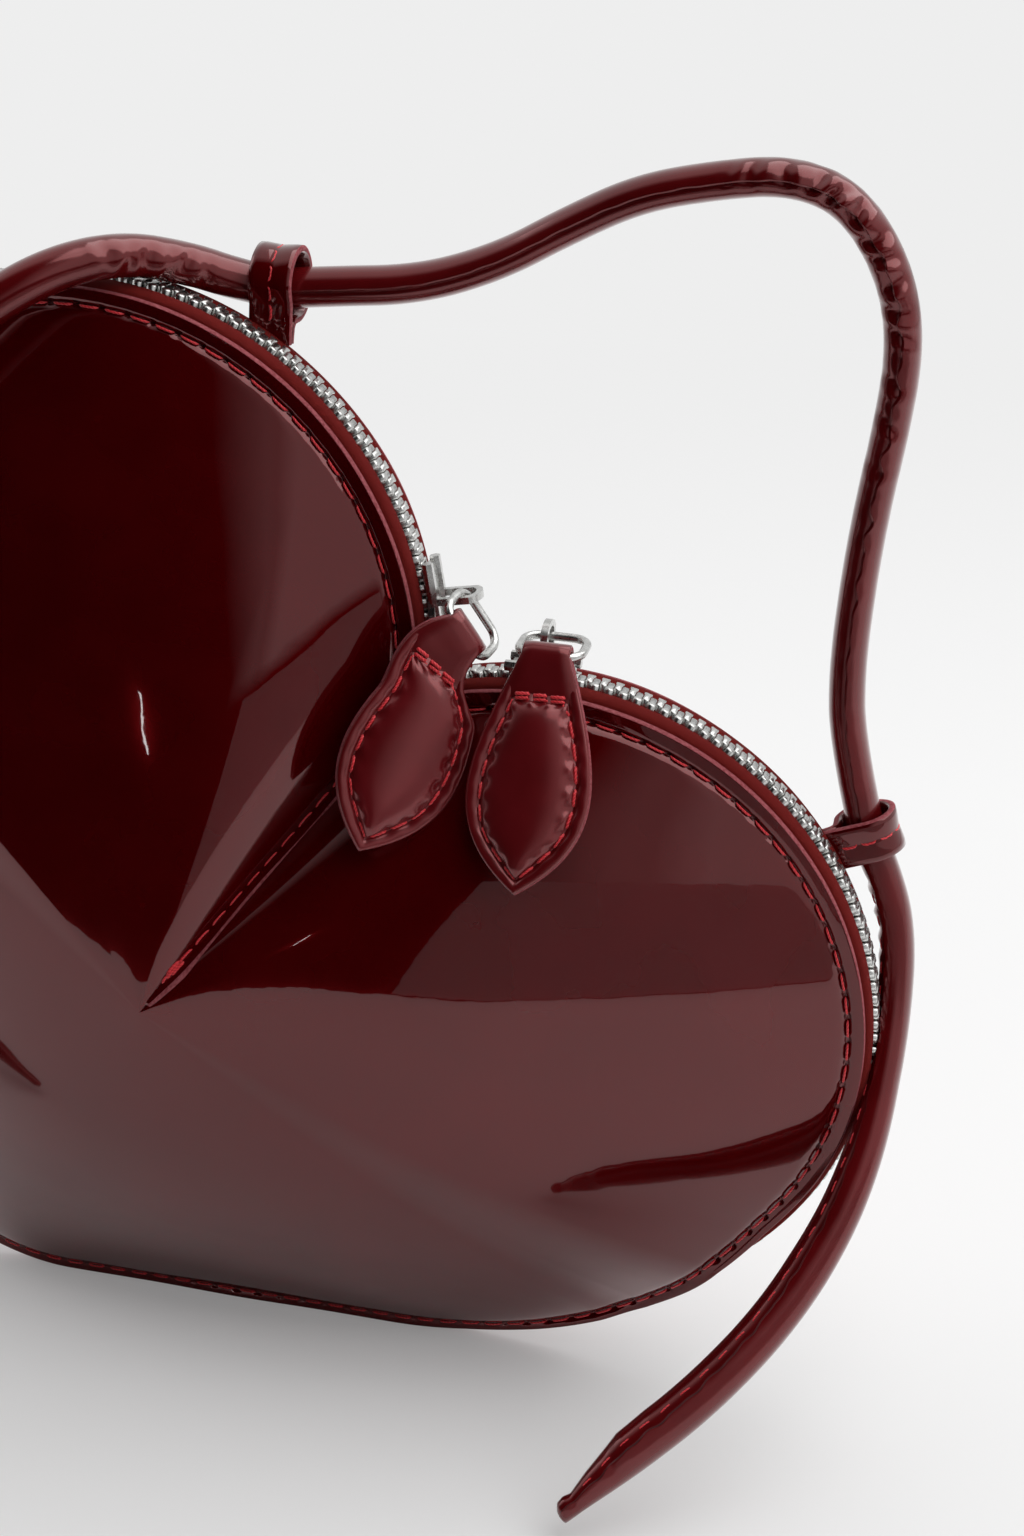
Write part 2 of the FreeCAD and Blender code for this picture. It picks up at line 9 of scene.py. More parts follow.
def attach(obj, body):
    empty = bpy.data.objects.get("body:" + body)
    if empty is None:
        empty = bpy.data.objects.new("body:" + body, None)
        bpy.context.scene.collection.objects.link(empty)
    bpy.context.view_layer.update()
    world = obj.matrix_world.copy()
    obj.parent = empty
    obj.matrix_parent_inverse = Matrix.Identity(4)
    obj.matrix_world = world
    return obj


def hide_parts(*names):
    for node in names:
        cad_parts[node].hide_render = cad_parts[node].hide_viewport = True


# heart shaped purse in patent leather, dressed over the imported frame
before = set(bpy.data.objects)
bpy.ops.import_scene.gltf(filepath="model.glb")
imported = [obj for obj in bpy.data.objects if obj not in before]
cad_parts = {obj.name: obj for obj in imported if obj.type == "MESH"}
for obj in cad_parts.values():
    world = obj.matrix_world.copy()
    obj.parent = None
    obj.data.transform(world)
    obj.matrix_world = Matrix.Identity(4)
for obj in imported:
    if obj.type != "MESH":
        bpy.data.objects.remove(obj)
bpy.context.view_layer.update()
mm = 0.001
dice = random.Random(14)
zAxis = np.array([0.0, 0.0, 1.0])


# helpers for nodes, meshes and smooth steps
def linear(hexCode):  # sRGB hex to linear RGBA
    parts = [int(hexCode[i:i + 2], 16) / 255 for i in (1, 3, 5)]
    return [c / 12.92 if c <= 0.04045 else ((c + 0.055) / 1.055) ** 2.4 for c in parts] + [1.0]


def addNode(tree, kind, settings=None, links=None):
    node = tree.nodes.new(kind)
    for key, value in (settings or {}).items():
        if isinstance(key, int) or key in node.inputs:
            node.inputs[key].default_value = value
        else:
            setattr(node, key, value)
    for key, socket in (links or {}).items():
        tree.links.new(socket, node.inputs[key])
    return node


def newFinish(name, settings):
    finish = bpy.data.materials.new(name)
    finish.use_nodes = True
    tree = finish.node_tree
    shader = tree.nodes["Principled BSDF"]
    for key, value in settings.items():
        shader.inputs[key].default_value = value
    return finish, tree, shader


def twoTone(tree, factor, dark, light, low=0.35, high=0.65):
    ramp = addNode(tree, "ShaderNodeValToRGB", links={"Fac": factor})
    ends = ramp.color_ramp.elements
    ends[0].position, ends[1].position = low, high
    ends[0].color, ends[1].color = linear(dark), linear(light)
    return ramp.outputs["Color"]


def smooth(x):
    x = np.clip(x, 0, 1)
    return x * x * (3 - 2 * x)


def unitRows(rows):
    return rows / np.linalg.norm(rows, axis=1)[:, None]


def lengthAlong(line):  # distance from the start at each point of a line
    return np.concatenate([[0], np.cumsum(np.linalg.norm(np.diff(line, axis=0), axis=1))])


def pointAt(line, along, distance):
    return np.array([np.interp(distance, along, line[:, i]) for i in range(3)])


def newStore():
    return {"verts": [], "uvs": [], "faces": [], "finish": [], "count": 0}


def addGrid(store, rows, finish=0, loop=True, ring=False, flip=False, uv=None):
    rows = np.asarray(rows, float)
    high, wide = rows.shape[:2]
    start = store["count"]
    store["verts"].append(rows.reshape(-1, 3))
    store["uvs"].append(np.zeros((high * wide, 2)) if uv is None else np.asarray(uv, float).reshape(-1, 2))
    store["count"] += high * wide
    for r in range(high if ring else high - 1):
        below, above = start + r * wide, start + (r + 1) % high * wide
        for c in range(wide if loop else wide - 1):
            n = (c + 1) % wide
            face = (below + c, below + n, above + n, above + c)
            store["faces"].append(face[::-1] if flip else face)
            store["finish"].append(finish(r, c) if callable(finish) else finish)
    return start


def addCap(store, first, count, finish=0, flip=False):
    face = tuple(range(first, first + count))
    store["faces"].append(face[::-1] if flip else face)
    store["finish"].append(finish)


def makePiece(name, store, finishes, body, slotName, *nodes):
    mesh = bpy.data.meshes.new(name)
    mesh.from_pydata(np.concatenate(store["verts"]).tolist(), [], store["faces"])
    for finish in finishes:
        mesh.materials.append(finish)
    mesh.polygons.foreach_set("material_index", store["finish"])
    mesh.polygons.foreach_set("use_smooth", [True] * len(mesh.polygons))
    corner = np.empty(len(mesh.loops), int)
    mesh.loops.foreach_get("vertex_index", corner)
    layer = mesh.uv_layers.new(name="lay")
    layer.data.foreach_set("uv", np.concatenate(store["uvs"])[corner].ravel())
    mesh.update()
    obj = bpy.data.objects.new(name, mesh)
    bpy.context.scene.collection.objects.link(obj)
    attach(obj, body)
    if nodes:
        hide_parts(*nodes)
    return obj


# camera at the photograph's angle
view = {
    "eye": (0.1480, -0.3921, 0.2996),
    "right": (0.9702, 0.2416, 0.0193),
    "down": (0.1158, -0.3923, -0.9125),
    "ahead": (-0.2129, 0.8875, -0.4086),
    "lens": 60.0,
    "sensor": 36.0,
    "clip": 0.01,
}
cameraData = bpy.data.cameras.new("camera")
cameraData.sensor_fit = "VERTICAL"
cameraData.sensor_height = view["sensor"]
cameraData.lens = view["lens"]
cameraData.clip_start = view["clip"]
camera = bpy.data.objects.new("camera", cameraData)
columns = [Vector(view["right"]), -Vector(view["down"]), -Vector(view["ahead"]), Vector(view["eye"])]
camera.matrix_world = Matrix([[c[i] for c in columns] for i in range(3)] + [[0, 0, 0, 1]])
bpy.context.scene.collection.objects.link(camera)
bpy.context.scene.camera = camera
print("camera set")


# finishes
def patentLeather(name, dark, light, wear=0.02):
    # split leather under a clear plastic film: deep dye below, mirror gloss above, faint ripple in the film
    finish, tree, shader = newFinish(name, {
        "Roughness": 0.12, "IOR": 1.45, "Specular IOR Level": 0.75, "Specular Tint": linear("#ff2830"),
        "Coat Weight": 1.0, "Coat Roughness": wear, "Coat IOR": 1.5})
    place = addNode(tree, "ShaderNodeTexCoord").outputs["Object"]
    cloud = addNode(tree, "ShaderNodeTexNoise", {"Scale": 1 / (18 * mm), "Detail": 3}, {"Vector": place})
    tree.links.new(twoTone(tree, cloud.outputs["Fac"], dark, light), shader.inputs["Base Color"])
    ripple = addNode(tree, "ShaderNodeTexNoise", {"Scale": 1 / (14 * mm), "Detail": 2}, {"Vector": place})
    peel = addNode(tree, "ShaderNodeTexNoise", {"Scale": 1 / (1.6 * mm), "Detail": 1}, {"Vector": place})
    wave = addNode(tree, "ShaderNodeBump", {"Strength": 0.25, "Distance": 0.25 * mm},
                   {"Height": ripple.outputs["Fac"]})
    film = addNode(tree, "ShaderNodeBump", {"Strength": 0.05, "Distance": 0.05 * mm},
                   {"Height": peel.outputs["Fac"], "Normal": wave.outputs["Normal"]})
    tree.links.new(film.outputs["Normal"], shader.inputs["Coat Normal"])
    tree.links.new(film.outputs["Normal"], shader.inputs["Normal"])
    return finish


def rawLeather(name, dark, light):
    # cut edge of the leather: short matted fibres that take the dye as a dusty pink red, no gloss; the near
    # black flesh side made with it is partly painted shade
    finish, tree, shader = newFinish(name, {"Roughness": 0.78, "Specular IOR Level": 0.3})
    place = addNode(tree, "ShaderNodeTexCoord").outputs["Object"]
    fibre = addNode(tree, "ShaderNodeTexNoise", {"Scale": 1 / (0.5 * mm), "Detail": 4}, {"Vector": place})
    tree.links.new(twoTone(tree, fibre.outputs["Fac"], dark, light), shader.inputs["Base Color"])
    fuzz = addNode(tree, "ShaderNodeBump", {"Strength": 0.6, "Distance": 0.15 * mm},
                   {"Height": fibre.outputs["Fac"]})
    tree.links.new(fuzz.outputs["Normal"], shader.inputs["Normal"])
    return finish


def sewingThread(name, dark, light):
    # twisted polyester thread: two plies, soft shine along the ply
    finish, tree, shader = newFinish(name, {"Roughness": 0.5, "Sheen Weight": 0.35, "Sheen Roughness": 0.4})
    lay = addNode(tree, "ShaderNodeTexCoord").outputs["UV"]
    ply = addNode(tree, "ShaderNodeTexWave", {"Scale": 1.0, "Distortion": 0.4, "bands_direction": "DIAGONAL"},
                  {"Vector": lay})
    tree.links.new(twoTone(tree, ply.outputs["Fac"], dark, light, 0.2, 0.8), shader.inputs["Base Color"])
    return finish


def wovenTape(name, dark, light, thread):
    # woven polyester: matte, warp ribs crossed by weft, a little coarser than life so that it shows
    finish, tree, shader = newFinish(name, {"Roughness": 0.85, "Specular IOR Level": 0.1})
    lay = addNode(tree, "ShaderNodeTexCoord").outputs["UV"]
    spacing = 1 / (thread * 2 * math.pi / 20)  # wave texture: 20 / 2 pi bands a unit, UVs in mm
    warp = addNode(tree, "ShaderNodeTexWave", {"Scale": spacing, "Distortion": 1.0, "bands_direction": "X"},
                   {"Vector": lay})
    weft = addNode(tree, "ShaderNodeTexWave", {"Scale": spacing, "Distortion": 1.0, "bands_direction": "Y"},
                   {"Vector": lay})
    both = addNode(tree, "ShaderNodeMath", {"operation": "MULTIPLY"},
                   {0: warp.outputs["Fac"], 1: weft.outputs["Fac"]})
    tree.links.new(twoTone(tree, both.outputs["Value"], dark, light, 0.0, 0.7), shader.inputs["Base Color"])
    weave = addNode(tree, "ShaderNodeBump", {"Strength": 0.8, "Distance": 0.2 * mm},
                    {"Height": both.outputs["Value"]})
    tree.links.new(weave.outputs["Normal"], shader.inputs["Normal"])
    return finish


def platedNickel(name, dark, light):
    # polished nickel plate on cast zinc: bright mirror, softened a little by fine handling marks
    finish, tree, shader = newFinish(name, {"Metallic": 1.0})
    place = addNode(tree, "ShaderNodeTexCoord").outputs["Object"]
    marks = addNode(tree, "ShaderNodeTexNoise", {"Scale": 1 / (1.2 * mm), "Detail": 4}, {"Vector": place})
    tree.links.new(twoTone(tree, marks.outputs["Fac"], dark, light), shader.inputs["Base Color"])
    rub = addNode(tree, "ShaderNodeMapRange", {"To Min": 0.18, "To Max": 0.36},
                  {"Value": marks.outputs["Fac"]})
    tree.links.new(rub.outputs["Result"], shader.inputs["Roughness"])
    dent = addNode(tree, "ShaderNodeBump", {"Strength": 0.12, "Distance": 0.1 * mm},
                   {"Height": marks.outputs["Fac"]})
    tree.links.new(dent.outputs["Normal"], shader.inputs["Normal"])
    return finish


oxblood = patentLeather("patent_leather_oxblood", "#420002", "#4a0204")
strapHide = patentLeather("patent_leather_strap", "#500508", "#5e0a0e", 0.18)
# lighter base than the panel leather: the lift is painted light for the pale haze on the leaves, next to the
# rougher film
pullHide = patentLeather("patent_leather_pull", "#5a0c10", "#6a141a", 0.24)
# near black flesh side: partly the leather's own dark back, partly painted shade in the strap's seam gutter
# and on the dart fin's shaded right face
fleshSideAndShade = rawLeather("dark_flesh_side_and_painted_shade", "#1c0204", "#30080a")
cutEdge = rawLeather("cut_leather_edge", "#7c3036", "#a0545a")
redThread = sewingThread("sewing_thread_red", "#c8141e", "#ee3c46")
tapeWeave = wovenTape("woven_zip_tape", "#6a1414", "#b03630", 0.75)
liningWeave = wovenTape("lining_cloth_weave", "#3c0a0c", "#5a1418", 0.6)
nickel = platedNickel("plated_nickel", "#c4c4c2", "#d8d8d6")
print("finishes made")


# strap: one rolled strap, led through both loops, in three runs that meet inside the loops
strap = {
    "deep": 3.8, "sides": 40, "atSeam": [-0.1, -0.035, 0.035, 0.1], "lip": 0.3, "sunk": 0.36,
    "lipFade": 0.55, "sunkFade": 0.6, "evenShift": 0.08,  # turns in radians from the seam
    "foldWidth": 1.15, "ridgeWidth": 0.9, "ridgeAt": 2.1, "foldTurn": 0.8,  # one crimp
    "gutter": -0.38, "pitch": 4.5, "stitchEnds": (0.8, 3.7),
    "stitch": (2.6, 0.14, 0.34),  # length, radius, arch
    "tipAt": [0, 0.8, 2.2, 3.6, 8, 16, 22], "tipShare": [0.34, 0.46, 0.5, 0.46, 0.66, 0.96, 1.0],
}
strapRoute = [
    (-0.068, -0.058, 0.0042), (-0.0855, -0.0545, 0.019), (-0.0945, -0.0505, 0.044),
    (-0.0965, -0.047, 0.072), (-0.0925, -0.043, 0.101), (-0.084, -0.038, 0.129), (-0.072, -0.0325, 0.154),
    (-0.058, -0.0275, 0.1745), (-0.043, -0.0215, 0.188), (-0.031, -0.0165, 0.1972),
    (-0.0215, -0.0115, 0.2029), (-0.0125, -0.0035, 0.2044), (-0.004, 0.0045, 0.2015),
    (0.003, 0.0088, 0.1983), (0.0098, 0.01, 0.1971), (0.0187, 0.01, 0.1981), (0.0342, 0.01, 0.1996),
    (0.0477, 0.01, 0.2044), (0.0592, 0.0101, 0.2112), (0.0705, 0.0102, 0.217), (0.0825, 0.0104, 0.2198),
    (0.0935, 0.0107, 0.2213), (0.1022, 0.011, 0.219), (0.1083, 0.011, 0.2128), (0.1127, 0.011, 0.204),
    (0.1142, 0.011, 0.194), (0.113, 0.011, 0.1815), (0.1112, 0.011, 0.1695), (0.1098, 0.011, 0.156),
    (0.109, 0.0106, 0.14), (0.11, 0.0102, 0.127), (0.1148, 0.01, 0.11), (0.1192, 0.0099, 0.101),
    (0.1218, 0.0085, 0.091), (0.1224, 0.0045, 0.079), (0.1219, -0.002, 0.0675), (0.1202, -0.0095, 0.057),
    (0.1165, -0.017, 0.046), (0.109, -0.027, 0.0335), (0.0985, -0.0375, 0.023), (0.0876, -0.0455, 0.0148),
    (0.0785, -0.0512, 0.0086), (0.0762, -0.0522, 0.0066)]
leftHold, rightHold = 14, 31  # route points in the loops
strapRuns = {  # half is the half height at a distance; crimps give distance, turn and depth
    "strap_left_tail": {
        "points": strapRoute[leftHold::-1], "end": "bare", "seam": 1.2, "sewn": False,
        "half": [(0, 3.4), (12, 3.5), (60, 3.7), (300, 3.8)], "wave": [(0, 0.05), (300, 0.05)],
        "crimps": [(13.5, -1.6, 0.3), (17, -1.9, 0.5), (20.2, -1.5, 0.45), (23.8, -1.8, 0.6),
                   (27.5, -1.6, 0.45), (31, -2.0, 0.3)]},
    "strap_arch": {
        "points": strapRoute[leftHold:rightHold + 1], "end": "object", "seam": -1.52, "sewn": False,
        "half": [(0, 3.4), (20, 3.3), (45, 3.05), (90, 3.1), (150, 3.05), (210, 3.15)],
        "wave": [(0, 0.01), (95, 0.02), (118, 0.1), (150, 0.12), (172, 0.04), (210, 0.02)],
        "crimps": [(79, -1.1, 0.2), (83.5, -1.3, 0.35), (88.5, -1.2, 0.5), (92.5, -1.0, 0.9),
                   (96.6, -1.4, 1.0), (100.6, -1.1, 0.95), (105, -1.5, 0.9), (108.8, -1.6, 0.75),
                   (113, -1.5, 0.65), (117, -1.7, 0.5), (121.5, -1.6, 0.35), (129, -1.8, 0.3),
                   (135.5, -1.7, 0.3), (143, -1.8, 0.2)]},
    "strap_right_tail": {
        "points": strapRoute[rightHold:], "end": "bare", "seam": -2.15, "sewn": True,
        "half": [(0, 3.15), (45, 3.1), (62, 3.6), (80, 4.0), (170, 4.1)],
        "wave": [(0, 0.05), (20, 0.04), (90, 0.03), (130, 0.05), (170, 0.03)],
        "crimps": [(8, 2.9, 0.5), (12, 3.0, 0.6), (16.5, 2.9, 0.45), (21, 3.0, 0.25), (128, -2.2, 0.3)]},
}


def routeLine(name, points):  # the route's NURBS spline as close points
    curve = bpy.data.curves.new(name, "CURVE")
    curve.dimensions = "3D"
    spline = curve.splines.new("NURBS")
    spline.points.add(len(points) - 1)
    for knot, point in zip(spline.points, points):
        knot.co = (*point, 1.0)
    spline.order_u = 3
    spline.use_endpoint_u = True
    spline.resolution_u = 22
    holder = bpy.data.objects.new(name, curve)
    bpy.context.scene.collection.objects.link(holder)
    bpy.context.view_layer.update()
    mesh = bpy.data.meshes.new_from_object(holder)
    line = np.array([v.co for v in mesh.vertices])
    bpy.data.objects.remove(holder)
    bpy.data.meshes.remove(mesh)
    return line


def nearTurn(turn):  # angle brought to between -pi and pi
    return (turn + math.pi) % (2 * math.pi) - math.pi


def strapSkin(run, line):  # rows of the rolled skin in metres, distance in mm, columns' angles from the seam
    along = lengthAlong(line) / mm
    ahead = unitRows(np.gradient(line, axis=0))
    deep = unitRows(np.array([0.0, 1.0, 0.0]) - ahead * ahead[:, 1:2])
    out = np.cross(ahead, deep)
    even = np.linspace(-math.pi, math.pi, strap["sides"], endpoint=False)
    fromSeam = np.sort(np.append(even + strap["evenShift"], strap["atSeam"]))
    sway = np.interp(along, *zip(*run["wave"]))
    sway = sway * (np.sin(along / 1.15 + 1) + 0.7 * np.sin(along / 0.71))
    turn = fromSeam[None, :] + run["seam"] + sway[:, None]
    swell = np.where(fromSeam > 0, strap["lip"] * np.exp(-np.abs(fromSeam) / strap["lipFade"]),
                     -strap["sunk"] * np.exp(-np.abs(fromSeam) / strap["sunkFade"]))
    swell = np.repeat(swell[None, :], len(line), 0)
    for at, where, depth in run["crimps"]:
        aside = nearTurn(turn - where)
        away = along[:, None] - at + 0.7 * np.sin(aside * 1.7 + at) - 0.4 * aside
        ridge = np.exp(-((away - strap["ridgeAt"]) / strap["ridgeWidth"]) ** 2)
        fold = np.exp(-(away / strap["foldWidth"]) ** 2) - 0.5 * ridge
        swell -= depth * fold * np.exp(-(aside / strap["foldTurn"]) ** 2)
    half = np.interp(along, *zip(*run["half"]))
    thin = np.ones(len(line))
    if run["end"] == "bare":  # one side slants in to a small nub
        thin = np.interp(along[-1] - along, strap["tipAt"], strap["tipShare"])
    tall = ((half * thin)[:, None] + swell * thin[:, None]) * np.cos(turn)
    wide = ((strap["deep"] * thin)[:, None] + swell * thin[:, None]) * np.sin(turn)
    centre = line + out * (half * (1 - thin) * mm)[:, None]
    skin = out[:, None, :] * tall[:, :, None] + deep[:, None, :] * wide[:, :, None]
    return centre[:, None, :] + skin * mm, along, fromSeam


# threads: each stitch is a short two ply strand that dips into the leather at both ends
def addStitch(store, middle, ahead, up, length, radius=0.25, arch=0.42):
    ahead = ahead / np.linalg.norm(ahead)
    up = up - ahead * up.dot(ahead)
    up = up / np.linalg.norm(up)
    u = np.linspace(-0.5, 0.5, 9)
    path = (middle + ahead * (u * length)[:, None] + up * (arch * (1 - (2 * u) ** 4) - 0.3)[:, None])
    side = np.cross(ahead, up)
    turn = np.linspace(0, 2 * math.pi, 8, endpoint=False)
    ply = radius * (1 + 0.16 * np.cos(2 * (turn[None, :] - u[:, None] * length * 3.2)))
    ply[[0, -1]] *= 0.4
    rows = path[:, None, :] + side * (np.cos(turn) * ply)[:, :, None] + up * (np.sin(turn) * ply)[:, :, None]
    lay = np.stack(np.meshgrid(u * length, turn * radius, indexing="ij"), -1)
    addGrid(store, rows, uv=lay)


shine, raw, matte = 0, 1, 2  # finish order in a piece
for name, run in strapRuns.items():
    line = routeLine(name, run["points"])
    rows, along, fromSeam = strapSkin(run, line)
    lipAt = int(np.searchsorted(fromSeam, 0)) - 1
    store = newStore()
    # on the sewn run the seam lip is near black flesh side, partly painted shade in the gutter beside the
    # seam
    first = addGrid(store, rows, lambda r, c: raw if run["sewn"] and c == lipAt else shine)
    addCap(store, first, len(fromSeam), flip=True)
    addCap(store, first + (len(line) - 1) * len(fromSeam), len(fromSeam))
    tube = makePiece(name, store, [strapHide, fleshSideAndShade], "purse", "strap_leather", "strap")
    if run["sewn"]:  # the other runs turn their sewn side away
        store = newStore()
        gutter = int(np.argmin(np.abs(fromSeam - strap["gutter"])))
        sewn = rows[:, gutter] / mm
        up = (rows[:, gutter] - rows.mean(1)) / mm
        for k in range(2, int(along[-1] / strap["pitch"]) - 1):
            one, two = [pointAt(sewn, along, k * strap["pitch"] + d) for d in strap["stitchEnds"]]
            at = int(np.searchsorted(along, (k + 0.5) * strap["pitch"]))
            addStitch(store, (one + two) / 2, two - one, up[at], *strap["stitch"])
        store["verts"] = [v * mm for v in store["verts"]]
        makePiece(name + "_stitches", store, [redThread], "purse", "strap_leather")
print("strap laid")


# heart form, in millimetres: a across, b along the axis, w forward; it stands on its straight right side
heart = {
    "lobeX": 51.0, "lobeR": 61.0, "flankR": 91.0, "flankStart": 5.0, "zipEnd": -8.0, "seamStart": -24.0,
    "side": 52.0, "tipR": 40.0, "crease": 104.0, "lip": 1.2, "rimHalf": 5.5, "seamHalf": 0.05,
    "leather": 1.5, "dome": 32.0, "apexDrop": 35.6, "slope": 0.25, "valleyFall": 1.15, "valleyFade": 1.7,
}
sideTurn, flankTurn = math.radians(heart["side"]), math.radians(heart["flankStart"])
sideOut = np.array([math.cos(sideTurn), -math.sin(sideTurn)])
flankOut = np.array([math.cos(flankTurn), math.sin(flankTurn)])
lobeMid = np.array([heart["lobeX"], 0.0])
flankMid = lobeMid + flankOut * (heart["lobeR"] - heart["flankR"])
sideTop = flankMid + sideOut * heart["flankR"]
tipMid = np.array([0.0, (sideOut @ sideTop - heart["tipR"]) / sideOut[1]])
sideMid = (sideTop + tipMid + sideOut * heart["tipR"]) / 2 + sideOut * heart["lip"]
leanTurn = Matrix.Rotation(math.radians(90 - heart["side"]), 4, "Y")
stand = Matrix.Translation(-(leanTurn @ Vector((sideMid[0], 0, sideMid[1])))) @ leanTurn
notchAngle = math.degrees(math.acos(-heart["lobeX"] / heart["lobeR"]))
apex = np.array([0.0, -heart["apexDrop"]])


def toWorld(matrix, points):  # millimetres in a piece's own frame to metres in the row frame
    m = np.array(matrix)
    points = np.asarray(points, float)
    return (points @ m[:3, :3].T + m[:3, 3]) * mm


def heartToWorld(points, back=False):
    points = np.asarray(points, float)
    y = points[..., 2] if back else -points[..., 2]
    return toWorld(stand, np.stack([points[..., 0], y, points[..., 1]], -1))


def lobeFrame(side, angle):  # at the lobe centre: X along the zip, Y back, Z out at that lobe angle
    return (stand @ Matrix.Translation((side * heart["lobeX"], 0, 0))
            @ Matrix.Rotation(math.radians(side * (90 - angle)), 4, "Y"))


def arc(middle, radius, start, end, steps):
    angles = np.linspace(start, end, steps)
    turn = np.radians(angles)
    return middle + radius * np.stack([np.cos(turn), np.sin(turn)], 1), angles


panel = {
    "lobeSteps": 247, "flankSteps": 145, "sideSteps": 115, "tipSteps": 34,
    "shares": [0.02, 0.05, 0.09, 0.14, 0.2, 0.26, 0.33, 0.4, 0.47, 0.54, 0.6, 0.66, 0.71, 0.76, 0.8,
               0.84, 0.875, 0.905, 0.93, 0.95, 0.965, 0.976, 0.984, 0.99, 0.994, 0.997, 1.0],
    "flange": [0.1, 0.22, 0.38, 0.55, 0.72, 0.88, 0.96],
    "edge": [(0.995, 0.12), (1.01, 0.5), (1.01, 1.0), (0.99, 1.38)],
    "inside": [(0.9, 1.5), (0.5, 1.5), (0.0, 1.5), (-0.4, 1.5)],
    "angles": [-90, -52, -43, -34, -26, -20, -14, -8, 0, 12, 150],  # straight side and tip below -52
    "edgeGrow": [1.2, 1.2, 1.2, 1.7, 2.0, 1.6, 0.5, -0.6, -1.2, -0.8, -0.3],  # soft edge, full at the corner
    "sewGrow": [-0.4, -0.4, -0.4, 0.1, 0.3, -0.2, -1.6, -2.9, -3.7, -3.6, -3.5],  # stitch line
    "pressAngles": [-52, -20], "pressShare": [0.35, 1.0], "threads": [0.14, 0.22],  # finer along the bottom
    "pitch": 4.5, "groove": 0.45, "hole": 0.55, "holeSize": 0.42, "sag": 0.4, "ease": 181,
    "grooveWidth": 0.75, "growIn": -6.0, "growOut": 2.0, "roundFrom": 60, "roundOver": 45,
    "stitchGap": 0.55, "clear": 3, "jitter": 0.05,
}


def halfRim(grow):
    notch = math.degrees(math.acos(-heart["lobeX"] / (heart["lobeR"] + grow)))
    lobe, lobeAngle = arc(lobeMid, heart["lobeR"] + grow, notch, heart["flankStart"], panel["lobeSteps"])
    flank, flankAngle = arc(flankMid, heart["flankR"] + grow, heart["flankStart"], -heart["side"],
                            panel["flankSteps"])
    tip, tipAngle = arc(tipMid, heart["tipR"] + grow, -heart["side"], -90, panel["tipSteps"])
    straight = flank[-1] + (tip[0] - flank[-1]) * np.linspace(0, 1, panel["sideSteps"])[1:-1, None]
    points = np.vstack([lobe, flank[1:], straight, tip])
    straightAngle = np.full(len(straight), -heart["side"])
    return points, np.concatenate([lobeAngle, flankAngle[1:], straightAngle, tipAngle])


innerRim, rimAngle = halfRim(panel["growIn"])
outerRim = halfRim(panel["growOut"])[0]
seamOpen = smooth((rimAngle - heart["seamStart"]) / (heart["zipEnd"] - heart["seamStart"]))
halfDepth = heart["seamHalf"] + (heart["rimHalf"] - heart["seamHalf"]) * seamOpen
valley = np.clip((rimAngle[0] - rimAngle) / (rimAngle[0] - heart["crease"]), 0, 1)
halfLift = 1 - (1 - valley) ** heart["valleyFade"]


def growLine(key):  # right half of the rim, moved out by the table's millimetres
    grow = np.interp(rimAngle, panel["angles"], panel[key])
    share = (grow - panel["growIn"]) / (panel["growOut"] - panel["growIn"])
    return innerRim + (outerRim - innerRim) * share[:, None]


def whole(half, mirror=False):  # right half from the notch to the tip, then the left half back to the notch
    back = half[-2:0:-1] * (-1, 1) if mirror else half[-2:0:-1]
    return np.concatenate([half, back])


sewHalf = growLine("sewGrow")
sewLine, edgeLine = whole(sewHalf, True), whole(growLine("edgeGrow"), True)
rimDepth, rimLift = whole(halfDepth), whole(halfLift)
halfAlong = lengthAlong(sewHalf)
fullAlong = whole(halfAlong)
pressShare = whole(np.interp(rimAngle, panel["pressAngles"], panel["pressShare"]))


def domeDepth(share, rim, lift):
    swell = 1 - heart["slope"] * share - (1 - heart["slope"]) * share ** 3
    dip = 1 - share ** heart["valleyFall"]
    base = rim + heart["leather"]
    return base + (heart["dome"] - base) * ((1 - lift) * dip + lift * swell)


def stitchPress(away):  # how deep the thread pulls the leather, by distance from the stitch line
    toHole = (fullAlong + panel["pitch"] / 2) % panel["pitch"] - panel["pitch"] / 2
    hole = np.exp(-(toHole / panel["holeSize"]) ** 2)
    line = panel["groove"] * np.exp(-(away / panel["grooveWidth"]) ** 2)
    pit = panel["hole"] * hole * np.exp(-(away / panel["holeSize"]) ** 2)
    return (line + pit) * pressShare


ease = panel["ease"]
around = np.vstack([sewLine[-ease:], sewLine, sewLine[:ease]])
spread = [np.convolve(around[:, i], np.ones(ease) / ease, "same") for i in range(2)]
eased = np.column_stack(spread)[ease:-ease]
lower = whole(smooth((panel["roundFrom"] - rimAngle) / panel["roundOver"]))[:, None]


def sheetLine(share):  # line round the apex, rounder towards the middle below the lobes
    return apex + (sewLine + (eased - sewLine) * lower * (1 - share ** 3) - apex) * share


